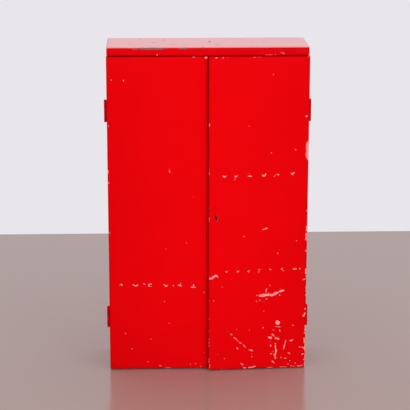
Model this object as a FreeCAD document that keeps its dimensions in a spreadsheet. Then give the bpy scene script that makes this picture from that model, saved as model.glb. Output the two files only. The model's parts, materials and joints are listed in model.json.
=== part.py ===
import FreeCAD, Part
import os
import re
import Sketcher

# Two-door sheet steel tool cabinet, in millimetres. +Z is up and the doors face -Y.
# The origin is the middle of the underside of the carcass.
# Carcass: top cap with a folded rim, two sides, back, bottom with a folded sill, head rail, shelves on cleats.
# Doors: two overlapping pan doors on butt hinges. The left one is held by a top and a bottom slide bolt.
# The right one carries the lock, and stands a few degrees ajar.

doc = FreeCAD.newDocument("tool_cabinet")

# Driving dimensions, one named cell each, with what it measures.
SIZES = {
    "body_width": (597, "carcass, side to side over the top cap"),
    "body_height": (1000, "floor to the top face"),
    "overall_depth": (195, "closed door faces to the back face"),
    "sheet": (1.0, "thickness of the folded sheet steel"),
    "bend": (2.5, "outer radius of the visible folds"),
    "rim_height": (24.5, "top cap, front fold and side folds"),
    "rear_flange": (12, "fold of a side that the back is welded to"),
    "stile_width": (20, "front fold of a side, beside the opening"),
    "rail_height": (33, "head rail behind the door tops"),
    "sill_height": (30, "front fold of the bottom"),
    "frame_return": (20, "backward fold of head rail and sill"),
    "wall_hole_radius": (4, "wall fixing hole"),
    "wall_hole_across": (500, "wall fixing holes, side to side"),
    "wall_hole_up": (860, "wall fixing holes, bottom to top"),
    "door_overhang": (1.5, "door edge beyond the top cap's side"),
    "door_depth": (20, "door pan, front to back"),
    "door_top_gap": (3, "door top below the rim"),
    "door_foot_gap": (3, "door bottom above the floor"),
    "door_seam": (1.2, "gap between the two doors"),
    "hinge_lip": (28, "back lip of a door at its hinges"),
    "meeting_lip": (24, "back lip of the left door at the seam"),
    "lock_lip": (12, "back lip of the right door at the seam"),
    "cross_lip": (15, "back lips along top and bottom of a door"),
    "ajar": (3.5, "right door's opening angle at rest, degrees"),
    "weld_radius": (4, "spot weld dimple in a door face"),
    "weld_depth": (0.35, "spot weld dimple, depth"),
    "left_weld_start": (38, "first weld from the left door's hinge edge"),
    "left_weld_pitch": (43.7, "left door's welds, spacing"),
    "left_weld_count": (6, "left door's welds"),
    "upper_weld_start": (47, "first upper weld from the right door's free edge"),
    "upper_weld_pitch": (41.4, "upper welds, spacing"),
    "upper_weld_count": (6, "upper welds"),
    "lower_weld_start": (54, "first lower weld from the right door's free edge"),
    "lower_weld_pitch": (34.6, "lower welds, spacing"),
    "lower_weld_count": (7, "lower welds"),
    "left_rack_height": (272, "left door's rack, weld row above the floor"),
    "lower_rack_height": (318, "right door's lower rack, weld row above the floor"),
    "upper_rack_height": (618, "right door's upper rack, weld row above the floor"),
    "rack_sheet": (1.2, "thickness of a door rack"),
    "rack_back": (20, "height of the welded back leaf of a rack"),
    "rack_reach": (38, "a rack's depth behind the door skin"),
    "rack_front": (14, "height of a rack's retaining lip"),
    "rack_end_gap": (1, "rack end to the door's back lip"),
    "rack_start": (36, "right door's racks from its free edge"),
    "lower_shelf_height": (340, "lower shelf's top face"),
    "upper_shelf_height": (640, "upper shelf's top face"),
    "shelf_setback": (24, "shelf front behind the carcass front"),
    "shelf_lip": (15, "shelf's front fold"),
    "shelf_gap": (0.3, "shelf to the carcass walls"),
    "cleat_sheet": (1.2, "thickness of a shelf cleat"),
    "cleat_leg": (15, "legs of a shelf cleat"),
    "cleat_length": (130, "cleat, front to back"),
    "cleat_inset": (5, "cleat's front end behind the shelf's front"),
    "hinge_length": (66, "hinge barrel"),
    "knuckle_count": (5, "knuckles of a hinge"),
    "leaf_thickness": (1.5, "hinge leaf"),
    "leaf_gap": (0.3, "between the two leaves, door closed"),
    "leaf_reach": (22, "leaf edge to the pin's axis"),
    "barrel_radius": (4, "hinge barrel, outside"),
    "barrel_gap": (0.5, "barrel to the door's edge"),
    "hinge_pin_radius": (2, "hinge pin"),
    "running_gap": (0.05, "radial clearance of pins and rods in their bores"),
    "knuckle_gap": (0.4, "between neighbouring knuckles"),
    "pin_head_radius": (3, "heads of a hinge pin"),
    "pin_head_height": (1.4, "heads of a hinge pin"),
    "upper_hinge_drop": (192, "middle of an upper hinge below the top face"),
    "lower_hinge_height": (166, "middle of a lower hinge above the floor"),
    "rivet_radius": (2, "rivet shank"),
    "rivet_gap": (0.1, "rivet shank in its hole"),
    "rivet_head_radius": (3.6, "rivet head"),
    "rivet_head_height": (1.4, "rivet head"),
    "rivet_pitch": (24, "hinge rivets, spacing"),
    "rivet_inset": (7, "hinge rivets from the leaf's edge"),
    "lock_height": (490, "key axis above the floor"),
    "lock_backset": (23, "key axis from the right door's free edge"),
    "lock_width": (46, "lock case, from the door's edge fold inwards"),
    "lock_tall": (50, "lock case, height"),
    "lock_below": (20, "bottom of the lock case below the key axis"),
    "lock_depth": (14, "lock case, front to back"),
    "lock_sheet": (1.2, "thickness of the lock case and its cap"),
    "keyhole_radius": (3.9, "round head of the keyhole"),
    "keyhole_slot": (3.6, "width of the keyhole's slot"),
    "keyhole_drop": (11, "slot's end below the key axis"),
    "drill_pin_radius": (1.5, "pin that a pipe key turns on"),
    "drill_pin_inset": (1.5, "drill pin's tip behind the door skin"),
    "bolt_rise": (13, "middle of the lock bolt above the key axis"),
    "bolt_height": (12, "lock bolt"),
    "bolt_thickness": (4, "lock bolt"),
    "bolt_length": (34, "lock bolt"),
    "bolt_throw": (8, "travel of the lock bolt"),
    "bolt_inset": (5, "lock bolt's front face behind the door's face"),
    "bolt_slot_gap": (0.6, "lock bolt to its slots"),
    "bolt_end_inset": (0.3, "drawn bolt's end inside the door's edge"),
    "talon_radius": (5, "notch that the key's bit turns in"),
    "spring_thickness": (0.6, "flat spring on the lock bolt"),
    "spring_rise": (4, "height of the flat spring's free end"),
    "spring_run": (20, "length of the flat spring"),
    "spring_seat": (6, "foot of the flat spring on the bolt"),
    "screw_radius": (1.6, "lock screw"),
    "screw_head_radius": (3, "lock screw's head"),
    "screw_head_height": (0.8, "lock screw's head, in the seam"),
    "screw_pitch": (40, "lock screws, spacing"),
    "screw_length": (4, "lock screw behind the door's edge"),
    "rod_radius": (3, "slide bolt rod"),
    "rod_throw": (14, "travel of a slide bolt"),
    "rod_behind": (9, "rod's axis behind the door's back lip"),
    "rod_overrun": (1, "rod's ends beyond its guide, bolt drawn"),
    "rod_hole_gap": (0.8, "rod in the hole of the rail or sill"),
    "guide_width": (20, "slide bolt's base plate"),
    "guide_sheet": (1.2, "slide bolt's base plate"),
    "guide_clear": (4, "guide's end to the head rail or sill"),
    "strap_length": (17, "strap of a slide bolt along its rod"),
    "strap_width": (12, "strap of a slide bolt across its rod"),
    "strap_wall": (1.5, "strap's metal over the rod"),
    "knob_radius": (3.5, "finger knob of a slide bolt"),
    "knob_length": (9, "finger knob, from the rod's axis"),
    "knob_clear": (5.5, "finger knob to the straps, at either end of its travel"),
}

# Places that follow from the driving dimensions.
PLACES = {
    "front": "-overall_depth / 2",
    "back": "overall_depth / 2",
    "half_body": "body_width / 2",
    "cap_under": "body_height - sheet",
    "rim_foot": "body_height - rim_height",
    "side_out": "half_body - sheet",
    "side_in": "side_out - sheet",
    "door_back": "front + door_depth",
    "skin_back": "front + sheet",
    "stand_off": "2 * leaf_thickness + leaf_gap",
    "frame_front": "door_back + stand_off",
    "frame_inside": "frame_front + sheet",
    "opening_edge": "side_out - stile_width",
    "rail_foot": "rim_foot - rail_height",
    "back_front": "back - sheet",
    "flange_front": "back_front - sheet",
    "door_edge": "half_body + door_overhang",
    "door_top": "rim_foot - door_top_gap",
    "left_free": "-door_seam / 2",
    "right_free": "door_seam / 2",
    "hinge_x": "door_edge + barrel_gap + barrel_radius",
    "hinge_y": "door_back + stand_off / 2",
    "upper_hinge_height": "body_height - upper_hinge_drop",
    "knuckle_pitch": "hinge_length / knuckle_count",
    "bore_radius": "hinge_pin_radius + running_gap",
    "rivet_hole": "rivet_radius + rivet_gap",
    "rivet_x": "hinge_x - leaf_reach + rivet_inset",
    "shelf_front": "frame_front + shelf_setback",
    "shelf_rear": "flange_front - shelf_gap",
    "key_x": "right_free + lock_backset",
    "lock_foot": "lock_height - lock_below",
    "lock_head": "lock_foot + lock_tall",
    "lock_middle": "lock_foot + lock_tall / 2",
    "lock_left": "right_free + sheet",
    "lock_right": "lock_left + lock_width",
    "lock_rear": "skin_back + lock_depth",
    "bolt_front": "front + bolt_inset",
    "bolt_rear": "bolt_front + bolt_thickness",
    "bolt_foot": "lock_height + bolt_rise - bolt_height / 2",
    "bolt_head": "lock_height + bolt_rise + bolt_height / 2",
    "rod_x": "left_free - meeting_lip / 2",
    "rod_y": "door_back + rod_behind",
    "rod_bore": "rod_radius + running_gap",
    "strap_rear": "rod_y + rod_radius + strap_wall",
    "guide_length": "2 * (strap_length + knob_clear + knob_radius) + rod_throw",
    "top_guide_head": "rail_foot - guide_clear",
    "top_guide_foot": "top_guide_head - guide_length",
    "low_guide_foot": "sill_height + guide_clear",
    "low_guide_head": "low_guide_foot + guide_length",
}

book = doc.addObject("Spreadsheet::Sheet", "sizes")
for row, (name, (number, meaning)) in enumerate(SIZES.items(), start=1):
    book.set(f"A{row}", meaning)
    book.set(f"B{row}", str(number))
    book.setAlias(f"B{row}", name)
doc.recompute()


def formula(text):
    """Write out a formula of size and place names for the document."""
    def spell(match):
        word = match.group(0)
        if word in SIZES:
            return f"sizes.{word}"
        if word in PLACES:
            return f"({formula(PLACES[word])})"
        return word
    return re.sub(r"[a-z_]+", spell, text)


def number_of(text):
    """The present value of a formula."""
    return float(book.evalExpression(formula(text)))


def bind(thing, prop, text):
    thing.setExpression(prop, formula(text))


# Sketches, pads and pockets.
# A prism stands on an origin plane of its body and runs from a low to a high coordinate across that plane.
PARTS = {}
ACROSS = {"XY_Plane": 1, "YZ_Plane": 1, "XZ_Plane": -1}


def new_body(label):
    body = doc.addObject("PartDesign::Body", label)
    body.Label = label
    PARTS[label] = body
    return body


def origin_feature(body, role):
    return next(item for item in body.Origin.OriginFeatures if item.Role == role)


def sketch_on(body, plane, level):
    sketch = body.newObject("Sketcher::SketchObject", "Sketch")
    sketch.AttachmentSupport = (origin_feature(body, plane), [""])
    sketch.MapMode = "FlatFace"
    bind(sketch, "AttachmentOffset.Base.z", f"{ACROSS[plane]} * ({level})")
    return sketch


def place_point(sketch, geometry, corner, across, up):
    for kind, text in (("DistanceX", across), ("DistanceY", up)):
        rule = Sketcher.Constraint(kind, -1, 1, geometry, corner, number_of(text))
        index = sketch.addConstraint(rule)
        bind(sketch, f"Constraints[{index}]", text)


def draw_polygon(sketch, corners):
    first = sketch.GeometryCount
    spots = [FreeCAD.Vector(number_of(across), number_of(up), 0) for across, up in corners]
    for start, end in zip(spots, spots[1:] + spots[:1]):
        sketch.addGeometry(Part.LineSegment(start, end))
    for step, (across, up) in enumerate(corners):
        following = first + (step + 1) % len(corners)
        sketch.addConstraint(Sketcher.Constraint("Coincident", first + step, 2, following, 1))
        place_point(sketch, first + step, 1, across, up)


def draw_circle(sketch, across, up, radius):
    centre = FreeCAD.Vector(number_of(across), number_of(up), 0)
    circle = Part.Circle(centre, FreeCAD.Vector(0, 0, 1), number_of(radius))
    geometry = sketch.addGeometry(circle)
    place_point(sketch, geometry, 3, across, up)
    index = sketch.addConstraint(Sketcher.Constraint("Radius", geometry, number_of(radius)))
    bind(sketch, f"Constraints[{index}]", radius)


def prism(body, kind, plane, low, high, polygons=(), circles=()):
    """Add (Pad) or cut (Pocket) a prism between two coordinates across a plane."""
    sketch = sketch_on(body, plane, low if ACROSS[plane] > 0 else high)
    for corners in polygons:
        draw_polygon(sketch, corners)
    for across, up, radius in circles:
        draw_circle(sketch, across, up, radius)
    doc.recompute()
    before = body.Shape.Volume if kind == "Pocket" else 0
    feature = body.newObject(f"PartDesign::{kind}", kind)
    feature.Profile = sketch
    feature.Reversed = kind == "Pocket"
    bind(feature, "Length", f"({high}) - ({low})")
    doc.recompute()
    if kind == "Pocket" and not body.Shape.Volume < before:
        raise RuntimeError(f"a pocket of {body.Label} cuts nothing")
    return feature


def pad(body, plane, low, high, *polygons):
    return prism(body, "Pad", plane, low, high, polygons)


def pocket(body, plane, low, high, *polygons):
    return prism(body, "Pocket", plane, low, high, polygons)


def holes(body, plane, low, high, circles):
    return prism(body, "Pocket", plane, low, high, circles=circles)


def oblong(left, right, foot, head):
    return [(left, foot), (right, foot), (right, head), (left, head)]


def pattern(body, features, axis, pitch, count):
    """Repeat features along an origin axis of the body."""
    repeat = body.newObject("PartDesign::LinearPattern", "LinearPattern")
    repeat.Originals = features
    repeat.Direction = (origin_feature(body, axis), [""])
    repeat.Mode = "Spacing"
    bind(repeat, "Offset", pitch)
    bind(repeat, "Occurrences", count)
    body.Tip = repeat
    doc.recompute()
    return repeat


def fold_round(body, radius, chosen):
    """Round the edges of the body that a test picks, as a fold in sheet steel is rounded."""
    doc.recompute()
    tip = body.Tip
    names = [f"Edge{index}" for index, edge in enumerate(tip.Shape.Edges, start=1) if chosen(edge.BoundBox)]
    fillet = body.newObject("PartDesign::Fillet", "Fillet")
    fillet.Base = (tip, names)
    bind(fillet, "Radius", radius)
    doc.recompute()


def lies_at(low, high, text):
    """Whether a stretch from low to high lies at one given coordinate."""
    spot = number_of(text)
    slack = 1e-4
    return abs(low - spot) < slack and abs(high - spot) < slack


def turn_with_right_door(part):
    """Turn a piece about the right hinges by the angle that the door stands ajar."""
    part.Placement = FreeCAD.Placement(FreeCAD.Vector(), FreeCAD.Rotation(FreeCAD.Vector(0, 0, 1), 1))
    bind(part, "Placement.Rotation.Angle", "ajar")
    bind(part, "Placement.Base.x", "hinge_x * (1 - cos(ajar)) + hinge_y * sin(ajar)")
    bind(part, "Placement.Base.y", "hinge_y * (1 - cos(ajar)) - hinge_x * sin(ajar)")


# Round pieces: cylinders along an axis, joined into one piece or grouped as separate ones.
TURN_TO = {
    "Z": FreeCAD.Rotation(),
    "Y": FreeCAD.Rotation(FreeCAD.Vector(1, 0, 0), -90),
    "X": FreeCAD.Rotation(FreeCAD.Vector(0, 1, 0), 90),
}


def rod(axis, place, length, radius):
    """A cylinder from a place along +X, +Y or +Z."""
    piece = doc.addObject("Part::Cylinder", "Cylinder")
    piece.Placement = FreeCAD.Placement(FreeCAD.Vector(), TURN_TO[axis])
    for letter, text in zip("xyz", place):
        bind(piece, f"Placement.Base.{letter}", text)
    bind(piece, "Height", length)
    bind(piece, "Radius", radius)
    return piece


def joined(pieces, label="Join"):
    join = doc.addObject("Part::MultiFuse", label)
    join.Shapes = pieces
    join.Label = label
    return join


def grouped(pieces, label):
    """Like fasteners as separate solids of one node."""
    group = doc.addObject("Part::Compound", label)
    group.Links = pieces
    group.Label = label
    PARTS[label] = group
    return group


def rivet(across, shank_low, shank_high, up, head_at_high):
    """A rivet along Y, flush at one end, with a head at the other."""
    shank = rod("Y", (across, shank_low, up), f"({shank_high}) - ({shank_low})", "rivet_radius")
    head_low = shank_high if head_at_high else f"({shank_low}) - rivet_head_height"
    head = rod("Y", (across, head_low, up), "rivet_head_height", "rivet_head_radius")
    return joined([shank, head])


# Top cap: a sheet folded down at the front and both sides.
# The front fold is the visible rim, and it folds back again under itself to meet the head rail.
cap = new_body("top_cap")
pad(cap, "YZ_Plane", "-half_body", "half_body", [
    ("front", "rim_foot"), ("frame_front", "rim_foot"), ("frame_front", "rim_foot + sheet"),
    ("skin_back", "rim_foot + sheet"), ("skin_back", "cap_under"), ("back", "cap_under"),
    ("back", "body_height"), ("front", "body_height")])
for side in ("-1", "1"):
    pad(cap, "YZ_Plane", f"{side} * half_body - (1 + {side}) / 2 * sheet",
        f"{side} * half_body + (1 - {side}) / 2 * sheet", oblong("front", "back", "rim_foot", "body_height"))
fold_round(cap, "bend", lambda box: lies_at(box.YMin, box.YMax, "front")
           and lies_at(box.ZMin, box.ZMax, "body_height"))
fold_round(cap, "bend", lambda box: lies_at(box.YMin, box.YMax, "front")
           and lies_at(box.ZMin, box.ZMax, "rim_foot"))

# Sides: a sheet folded in at the front as the door stile and at the rear as a welding flange.
for name, side in (("left", "-1"), ("right", "1")):
    panel = new_body(f"{name}_side")
    pad(panel, "XY_Plane", "0", "cap_under", [
        (f"{side} * side_out", "frame_front"), (f"{side} * opening_edge", "frame_front"),
        (f"{side} * opening_edge", "frame_inside"), (f"{side} * side_in", "frame_inside"),
        (f"{side} * side_in", "flange_front"), (f"{side} * (side_in - rear_flange)", "flange_front"),
        (f"{side} * (side_in - rear_flange)", "back_front"), (f"{side} * side_in", "back_front"),
        (f"{side} * side_in", "back"), (f"{side} * side_out", "back")])
    fold_round(panel, "bend", lambda box: lies_at(box.YMin, box.YMax, "frame_front")
               and lies_at(box.XMin, box.XMax, f"{side} * side_out"))
    holes(panel, "XZ_Plane", "frame_front", "frame_inside", [
        (f"{side} * rivet_x", f"{height} + {step} * rivet_pitch", "rivet_hole")
        for height in ("lower_hinge_height", "upper_hinge_height") for step in ("-1", "0", "1")])

# Back: a flat sheet between the sides, with four holes for fixing the cabinet to a wall.
back_sheet = new_body("back_panel")
pad(back_sheet, "XZ_Plane", "back_front", "back", oblong("-side_in", "side_in", "0", "cap_under"))
holes(back_sheet, "XZ_Plane", "back_front", "back", [
    (f"{side} * wall_hole_across / 2", f"body_height / 2 + {end} * wall_hole_up / 2", "wall_hole_radius")
    for side in ("-1", "1") for end in ("-1", "1")])

# Bottom: a sheet folded up and back at the front as the sill, between the stiles.
bottom = new_body("bottom_panel")
pad(bottom, "XZ_Plane", "frame_inside", "flange_front", oblong("-side_in", "side_in", "0", "sheet"))
pad(bottom, "XZ_Plane", "flange_front", "back_front", oblong(
    "-side_in + rear_flange", "side_in - rear_flange", "0", "sheet"))
pad(bottom, "YZ_Plane", "-opening_edge", "opening_edge", [
    ("frame_front", "0"), ("frame_inside + sheet", "0"), ("frame_inside + sheet", "sheet"),
    ("frame_inside", "sheet"), ("frame_inside", "sill_height - sheet"),
    ("frame_front + frame_return", "sill_height - sheet"), ("frame_front + frame_return", "sill_height"),
    ("frame_front", "sill_height")])
holes(bottom, "XY_Plane", "sill_height - sheet", "sill_height", [("rod_x", "rod_y", "rod_radius + rod_hole_gap")])

# Head rail: an angle between the stiles that stops the door tops and takes the top slide bolt.
rail = new_body("head_rail")
pad(rail, "YZ_Plane", "-opening_edge", "opening_edge", [
    ("frame_front", "rail_foot"), ("frame_front + frame_return", "rail_foot"),
    ("frame_front + frame_return", "rail_foot + sheet"), ("frame_inside", "rail_foot + sheet"),
    ("frame_inside", "cap_under"), ("frame_front", "cap_under")])
holes(rail, "XY_Plane", "rail_foot", "rail_foot + sheet", [("rod_x", "rod_y", "rod_radius + rod_hole_gap")])

# Shelves: a sheet with a front fold, laid on two angle cleats welded to the sides.
for name in ("lower", "upper"):
    top = f"{name}_shelf_height"
    shelf = new_body(f"{name}_shelf")
    pad(shelf, "YZ_Plane", "-side_in + shelf_gap", "side_in - shelf_gap", [
        ("shelf_front", f"{top} - shelf_lip"), ("shelf_front + sheet", f"{top} - shelf_lip"),
        ("shelf_front + sheet", f"{top} - sheet"), ("shelf_rear", f"{top} - sheet"),
        ("shelf_rear", top), ("shelf_front", top)])
    fold_round(shelf, "bend", lambda box: lies_at(box.YMin, box.YMax, "shelf_front")
               and lies_at(box.ZMin, box.ZMax, top))
    for hand, side in (("left", "-1"), ("right", "1")):
        cleat = new_body(f"{hand}_{name}_cleat")
        under = f"({top} - sheet)"
        pad(cleat, "XZ_Plane", "shelf_front + cleat_inset", "shelf_front + cleat_inset + cleat_length", [
            (f"{side} * side_in", under), (f"{side} * (side_in - cleat_leg)", under),
            (f"{side} * (side_in - cleat_leg)", f"{under} - cleat_sheet"),
            (f"{side} * (side_in - cleat_sheet)", f"{under} - cleat_sheet"),
            (f"{side} * (side_in - cleat_sheet)", f"{under} - cleat_leg"),
            (f"{side} * side_in", f"{under} - cleat_leg")])


# Hinges: butt hinges whose leaves lie between the door's back lip and the stile.
# The frame leaf has the outer and middle knuckles, the door leaf the two between them.
def hinge_leaf(label, side, height, low, high, first_knuckle, knuckles):
    leaf = new_body(label)
    foot = f"({height} - hinge_length / 2)"
    pad(leaf, "XZ_Plane", low, high, oblong(
        f"{side} * (hinge_x - leaf_reach)", f"{side} * (hinge_x - barrel_radius - knuckle_gap)",
        foot, f"{height} + hinge_length / 2"))
    start = f"{foot} + {first_knuckle} * knuckle_pitch + knuckle_gap / 2"
    end = f"{foot} + ({first_knuckle} + 1) * knuckle_pitch - knuckle_gap / 2"
    tab = pad(leaf, "XY_Plane", start, end, oblong(
        f"{side} * (hinge_x - barrel_radius - 2 * knuckle_gap)", f"{side} * hinge_x", low, high))
    knuckle = prism(leaf, "Pad", "XY_Plane", start, end, circles=[(f"{side} * hinge_x", "hinge_y", "barrel_radius")])
    pattern(leaf, [tab, knuckle], "Z_Axis", "2 * knuckle_pitch", knuckles)
    holes(leaf, "XY_Plane", foot, f"{height} + hinge_length / 2", [(f"{side} * hinge_x", "hinge_y", "bore_radius")])
    holes(leaf, "XZ_Plane", low, high, [
        (f"{side} * rivet_x", f"{height} + {step} * rivet_pitch", "rivet_hole") for step in ("-1", "0", "1")])
    return leaf


def hinge_rivets(side, height, low, high, head_at_high):
    return [rivet(f"{side} * rivet_x", low, high, f"{height} + {step} * rivet_pitch", head_at_high)
            for step in ("-1", "0", "1")]


frame_rivets = []
for hand, side in (("left", "-1"), ("right", "1")):
    door_rivets = []
    for name in ("upper", "lower"):
        height = f"{name}_hinge_height"
        hinge_leaf(f"{hand}_{name}_frame_leaf", side, height, "frame_front - leaf_thickness", "frame_front",
                   "0", "(knuckle_count + 1) / 2")
        door_leaf = hinge_leaf(f"{hand}_{name}_door_leaf", side, height, "door_back", "door_back + leaf_thickness",
                               "1", "(knuckle_count - 1) / 2")
        if hand == "right":
            turn_with_right_door(door_leaf)
        pin_foot = f"{height} - hinge_length / 2"
        pin_head = f"{height} + hinge_length / 2"
        axis = (f"{side} * hinge_x", "hinge_y")
        PARTS[f"{hand}_{name}_hinge_pin"] = joined([
            rod("Z", (*axis, f"{pin_foot} - pin_head_height"), "hinge_length + 2 * pin_head_height",
                "hinge_pin_radius"),
            rod("Z", (*axis, f"{pin_foot} - pin_head_height"), "pin_head_height", "pin_head_radius"),
            rod("Z", (*axis, pin_head), "pin_head_height", "pin_head_radius")], f"{hand}_{name}_hinge_pin")
        frame_rivets += hinge_rivets(side, height, "frame_front - leaf_thickness", "frame_inside", True)
        door_rivets += hinge_rivets(side, height, "door_back - sheet", "door_back + leaf_thickness", False)
    door_group = grouped(door_rivets, f"{hand}_door_hinge_rivets")
    if hand == "right":
        turn_with_right_door(door_group)
grouped(frame_rivets, "frame_hinge_rivets")


# Doors: pans folded from one sheet, 20 mm deep, with a lip folded in all round at the back.
def door_pan(label, hinge_side, hinge_edge, free_edge, free_lip):
    pan = new_body(label)
    pad(pan, "XZ_Plane", "front", "door_back", oblong(hinge_edge, free_edge, "door_foot_gap", "door_top"))
    fold_round(pan, "bend", lambda box: lies_at(box.YMin, box.YMax, "front"))
    pocket(pan, "XZ_Plane", "skin_back", "door_back - sheet", oblong(
        f"{hinge_edge} - {hinge_side} * sheet", f"{free_edge} + {hinge_side} * sheet",
        "door_foot_gap + sheet", "door_top - sheet"))
    pocket(pan, "XZ_Plane", "door_back - sheet", "door_back", oblong(
        f"{hinge_edge} - {hinge_side} * hinge_lip", f"{free_edge} + {hinge_side} * {free_lip}",
        "door_foot_gap + cross_lip", "door_top - cross_lip"))
    fold_round(pan, "bend - sheet", lambda box: lies_at(box.YMin, box.YMax, "skin_back"))
    holes(pan, "XZ_Plane", "door_back - sheet", "door_back", [
        (f"{hinge_side} * rivet_x", f"{height} + {step} * rivet_pitch", "rivet_hole")
        for height in ("lower_hinge_height", "upper_hinge_height") for step in ("-1", "0", "1")])
    return pan


def weld_row(pan, start, up, pitch, count):
    """A row of shallow round dimples where a rack is spot welded to the skin."""
    ball = pan.newObject("PartDesign::SubtractiveSphere", "Dimple")
    ball.AttachmentSupport = (origin_feature(pan, "XY_Plane"), [""])
    ball.MapMode = "FlatFace"
    ball_radius = "((weld_radius ^ 2 + weld_depth ^ 2) / (2 * weld_depth))"
    bind(ball, "Radius", ball_radius)
    bind(ball, "AttachmentOffset.Base.x", start)
    bind(ball, "AttachmentOffset.Base.y", f"front + weld_depth - {ball_radius}")
    bind(ball, "AttachmentOffset.Base.z", up)
    pan.Tip = ball
    doc.recompute()
    pattern(pan, [ball], "X_Axis", pitch, count)


left_pan = door_pan("left_door_pan", "-1", "-door_edge", "left_free", "meeting_lip")
pocket(left_pan, "YZ_Plane", "left_free - sheet", "left_free", oblong(
    "bolt_front - bolt_slot_gap", "bolt_rear + bolt_slot_gap",
    "bolt_foot - bolt_slot_gap", "bolt_head + bolt_slot_gap"))
weld_row(left_pan, "-door_edge + left_weld_start", "left_rack_height", "left_weld_pitch", "left_weld_count")

right_pan = door_pan("right_door_pan", "1", "door_edge", "right_free", "lock_lip")
pocket(right_pan, "YZ_Plane", "right_free", "right_free + sheet", oblong(
    "bolt_front - bolt_slot_gap", "bolt_rear + bolt_slot_gap",
    "bolt_foot - bolt_slot_gap", "bolt_head + bolt_slot_gap"))
weld_row(right_pan, "right_free + upper_weld_start", "upper_rack_height", "upper_weld_pitch", "upper_weld_count")
weld_row(right_pan, "right_free + lower_weld_start", "lower_rack_height", "lower_weld_pitch", "lower_weld_count")
turn_with_right_door(right_pan)


# Door racks: troughs folded from strip, spot welded to the inside of the door skins.
def door_rack(label, left, right, row):
    rack = new_body(label)
    foot = f"({row} - rack_back / 2)"
    pad(rack, "YZ_Plane", left, right, [
        ("skin_back", foot), ("skin_back + rack_reach", foot), ("skin_back + rack_reach", f"{foot} + rack_front"),
        ("skin_back + rack_reach - rack_sheet", f"{foot} + rack_front"),
        ("skin_back + rack_reach - rack_sheet", f"{foot} + rack_sheet"),
        ("skin_back + rack_sheet", f"{foot} + rack_sheet"), ("skin_back + rack_sheet", f"{foot} + rack_back"),
        ("skin_back", f"{foot} + rack_back")])
    return rack


door_rack("left_rack", "-door_edge + hinge_lip + rack_end_gap", "left_free - meeting_lip - rack_end_gap",
          "left_rack_height")
for name in ("lower", "upper"):
    turn_with_right_door(door_rack(
        f"right_{name}_rack", "right_free + rack_start", "door_edge - hinge_lip - rack_end_gap",
        f"{name}_rack_height"))


# Lock: a cupboard lock inside the right door, screwed to its edge fold.
# A key that turns on the drill pin throws the bolt through the fold into the left door.
def keyhole(body, low, high):
    prism(body, "Pocket", "XZ_Plane", low, high, circles=[("key_x", "lock_height", "keyhole_radius")])
    pocket(body, "XZ_Plane", low, high, oblong(
        "key_x - keyhole_slot / 2", "key_x + keyhole_slot / 2", "lock_height - keyhole_drop", "lock_height"))


keyhole(right_pan, "front", "skin_back")

case = new_body("lock_case")
pad(case, "XZ_Plane", "skin_back", "lock_rear", oblong("lock_left", "lock_right", "lock_foot", "lock_head"))
fold_round(case, "bend", lambda box: lies_at(box.YMin, box.YMax, "skin_back")
           and lies_at(box.XMin, box.XMax, "lock_left"))
pocket(case, "XZ_Plane", "skin_back + lock_sheet", "lock_rear", oblong(
    "lock_left + lock_sheet", "lock_right - lock_sheet", "lock_foot + lock_sheet", "lock_head - lock_sheet"))
pocket(case, "YZ_Plane", "lock_left", "lock_left + lock_sheet", oblong(
    "bolt_front - bolt_slot_gap", "bolt_rear + bolt_slot_gap",
    "bolt_foot - bolt_slot_gap", "bolt_head + bolt_slot_gap"))
keyhole(case, "skin_back", "skin_back + lock_sheet")

lock_cap = new_body("lock_cap")
pad(lock_cap, "XZ_Plane", "lock_rear", "lock_rear + lock_sheet", oblong(
    "lock_left", "lock_right", "lock_foot", "lock_head"))

screw_spots = [f"lock_middle {sign} screw_pitch / 2" for sign in ("-", "+")]
for body, low, high in ((right_pan, "right_free", "lock_left"), (case, "lock_left", "lock_left + lock_sheet")):
    holes(body, "YZ_Plane", low, high, [("(skin_back + lock_rear) / 2", spot, "screw_radius + rivet_gap")
                                        for spot in screw_spots])

# The drill pin stands on the inside of the cap, welded at its foot.
drill_pin = grouped([rod("Y", ("key_x", "skin_back + drill_pin_inset", "lock_height"),
                         "lock_depth - drill_pin_inset", "drill_pin_radius")], "drill_pin")

bolt = new_body("lock_bolt")
pad(bolt, "XZ_Plane", "bolt_front", "bolt_rear", oblong(
    "right_free + bolt_end_inset", "right_free + bolt_end_inset + bolt_length", "bolt_foot", "bolt_head"))
holes(bolt, "XZ_Plane", "bolt_front", "bolt_rear", [("key_x", "bolt_foot", "talon_radius")])

spring = new_body("bolt_spring")
spring_left = "(right_free + bolt_end_inset + bolt_length - spring_run)"
pad(spring, "XZ_Plane", "bolt_front", "bolt_rear", [
    (spring_left, "bolt_head + spring_rise"), (spring_left, "bolt_head + spring_rise - spring_thickness"),
    (f"{spring_left} + spring_run - spring_seat", "bolt_head"), (f"{spring_left} + spring_run", "bolt_head"),
    (f"{spring_left} + spring_run", "bolt_head + spring_thickness"),
    (f"{spring_left} + spring_run - spring_seat", "bolt_head + spring_thickness")])

screw_y = "(skin_back + lock_rear) / 2"
screws = grouped([
    joined([rod("X", ("right_free", screw_y, spot), "screw_length", "screw_radius"),
            rod("X", ("right_free - screw_head_height", screw_y, spot), "screw_head_height", "screw_head_radius")])
    for spot in screw_spots], "lock_screws")

for piece in (case, lock_cap, drill_pin, bolt, spring, screws):
    turn_with_right_door(piece)


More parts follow.
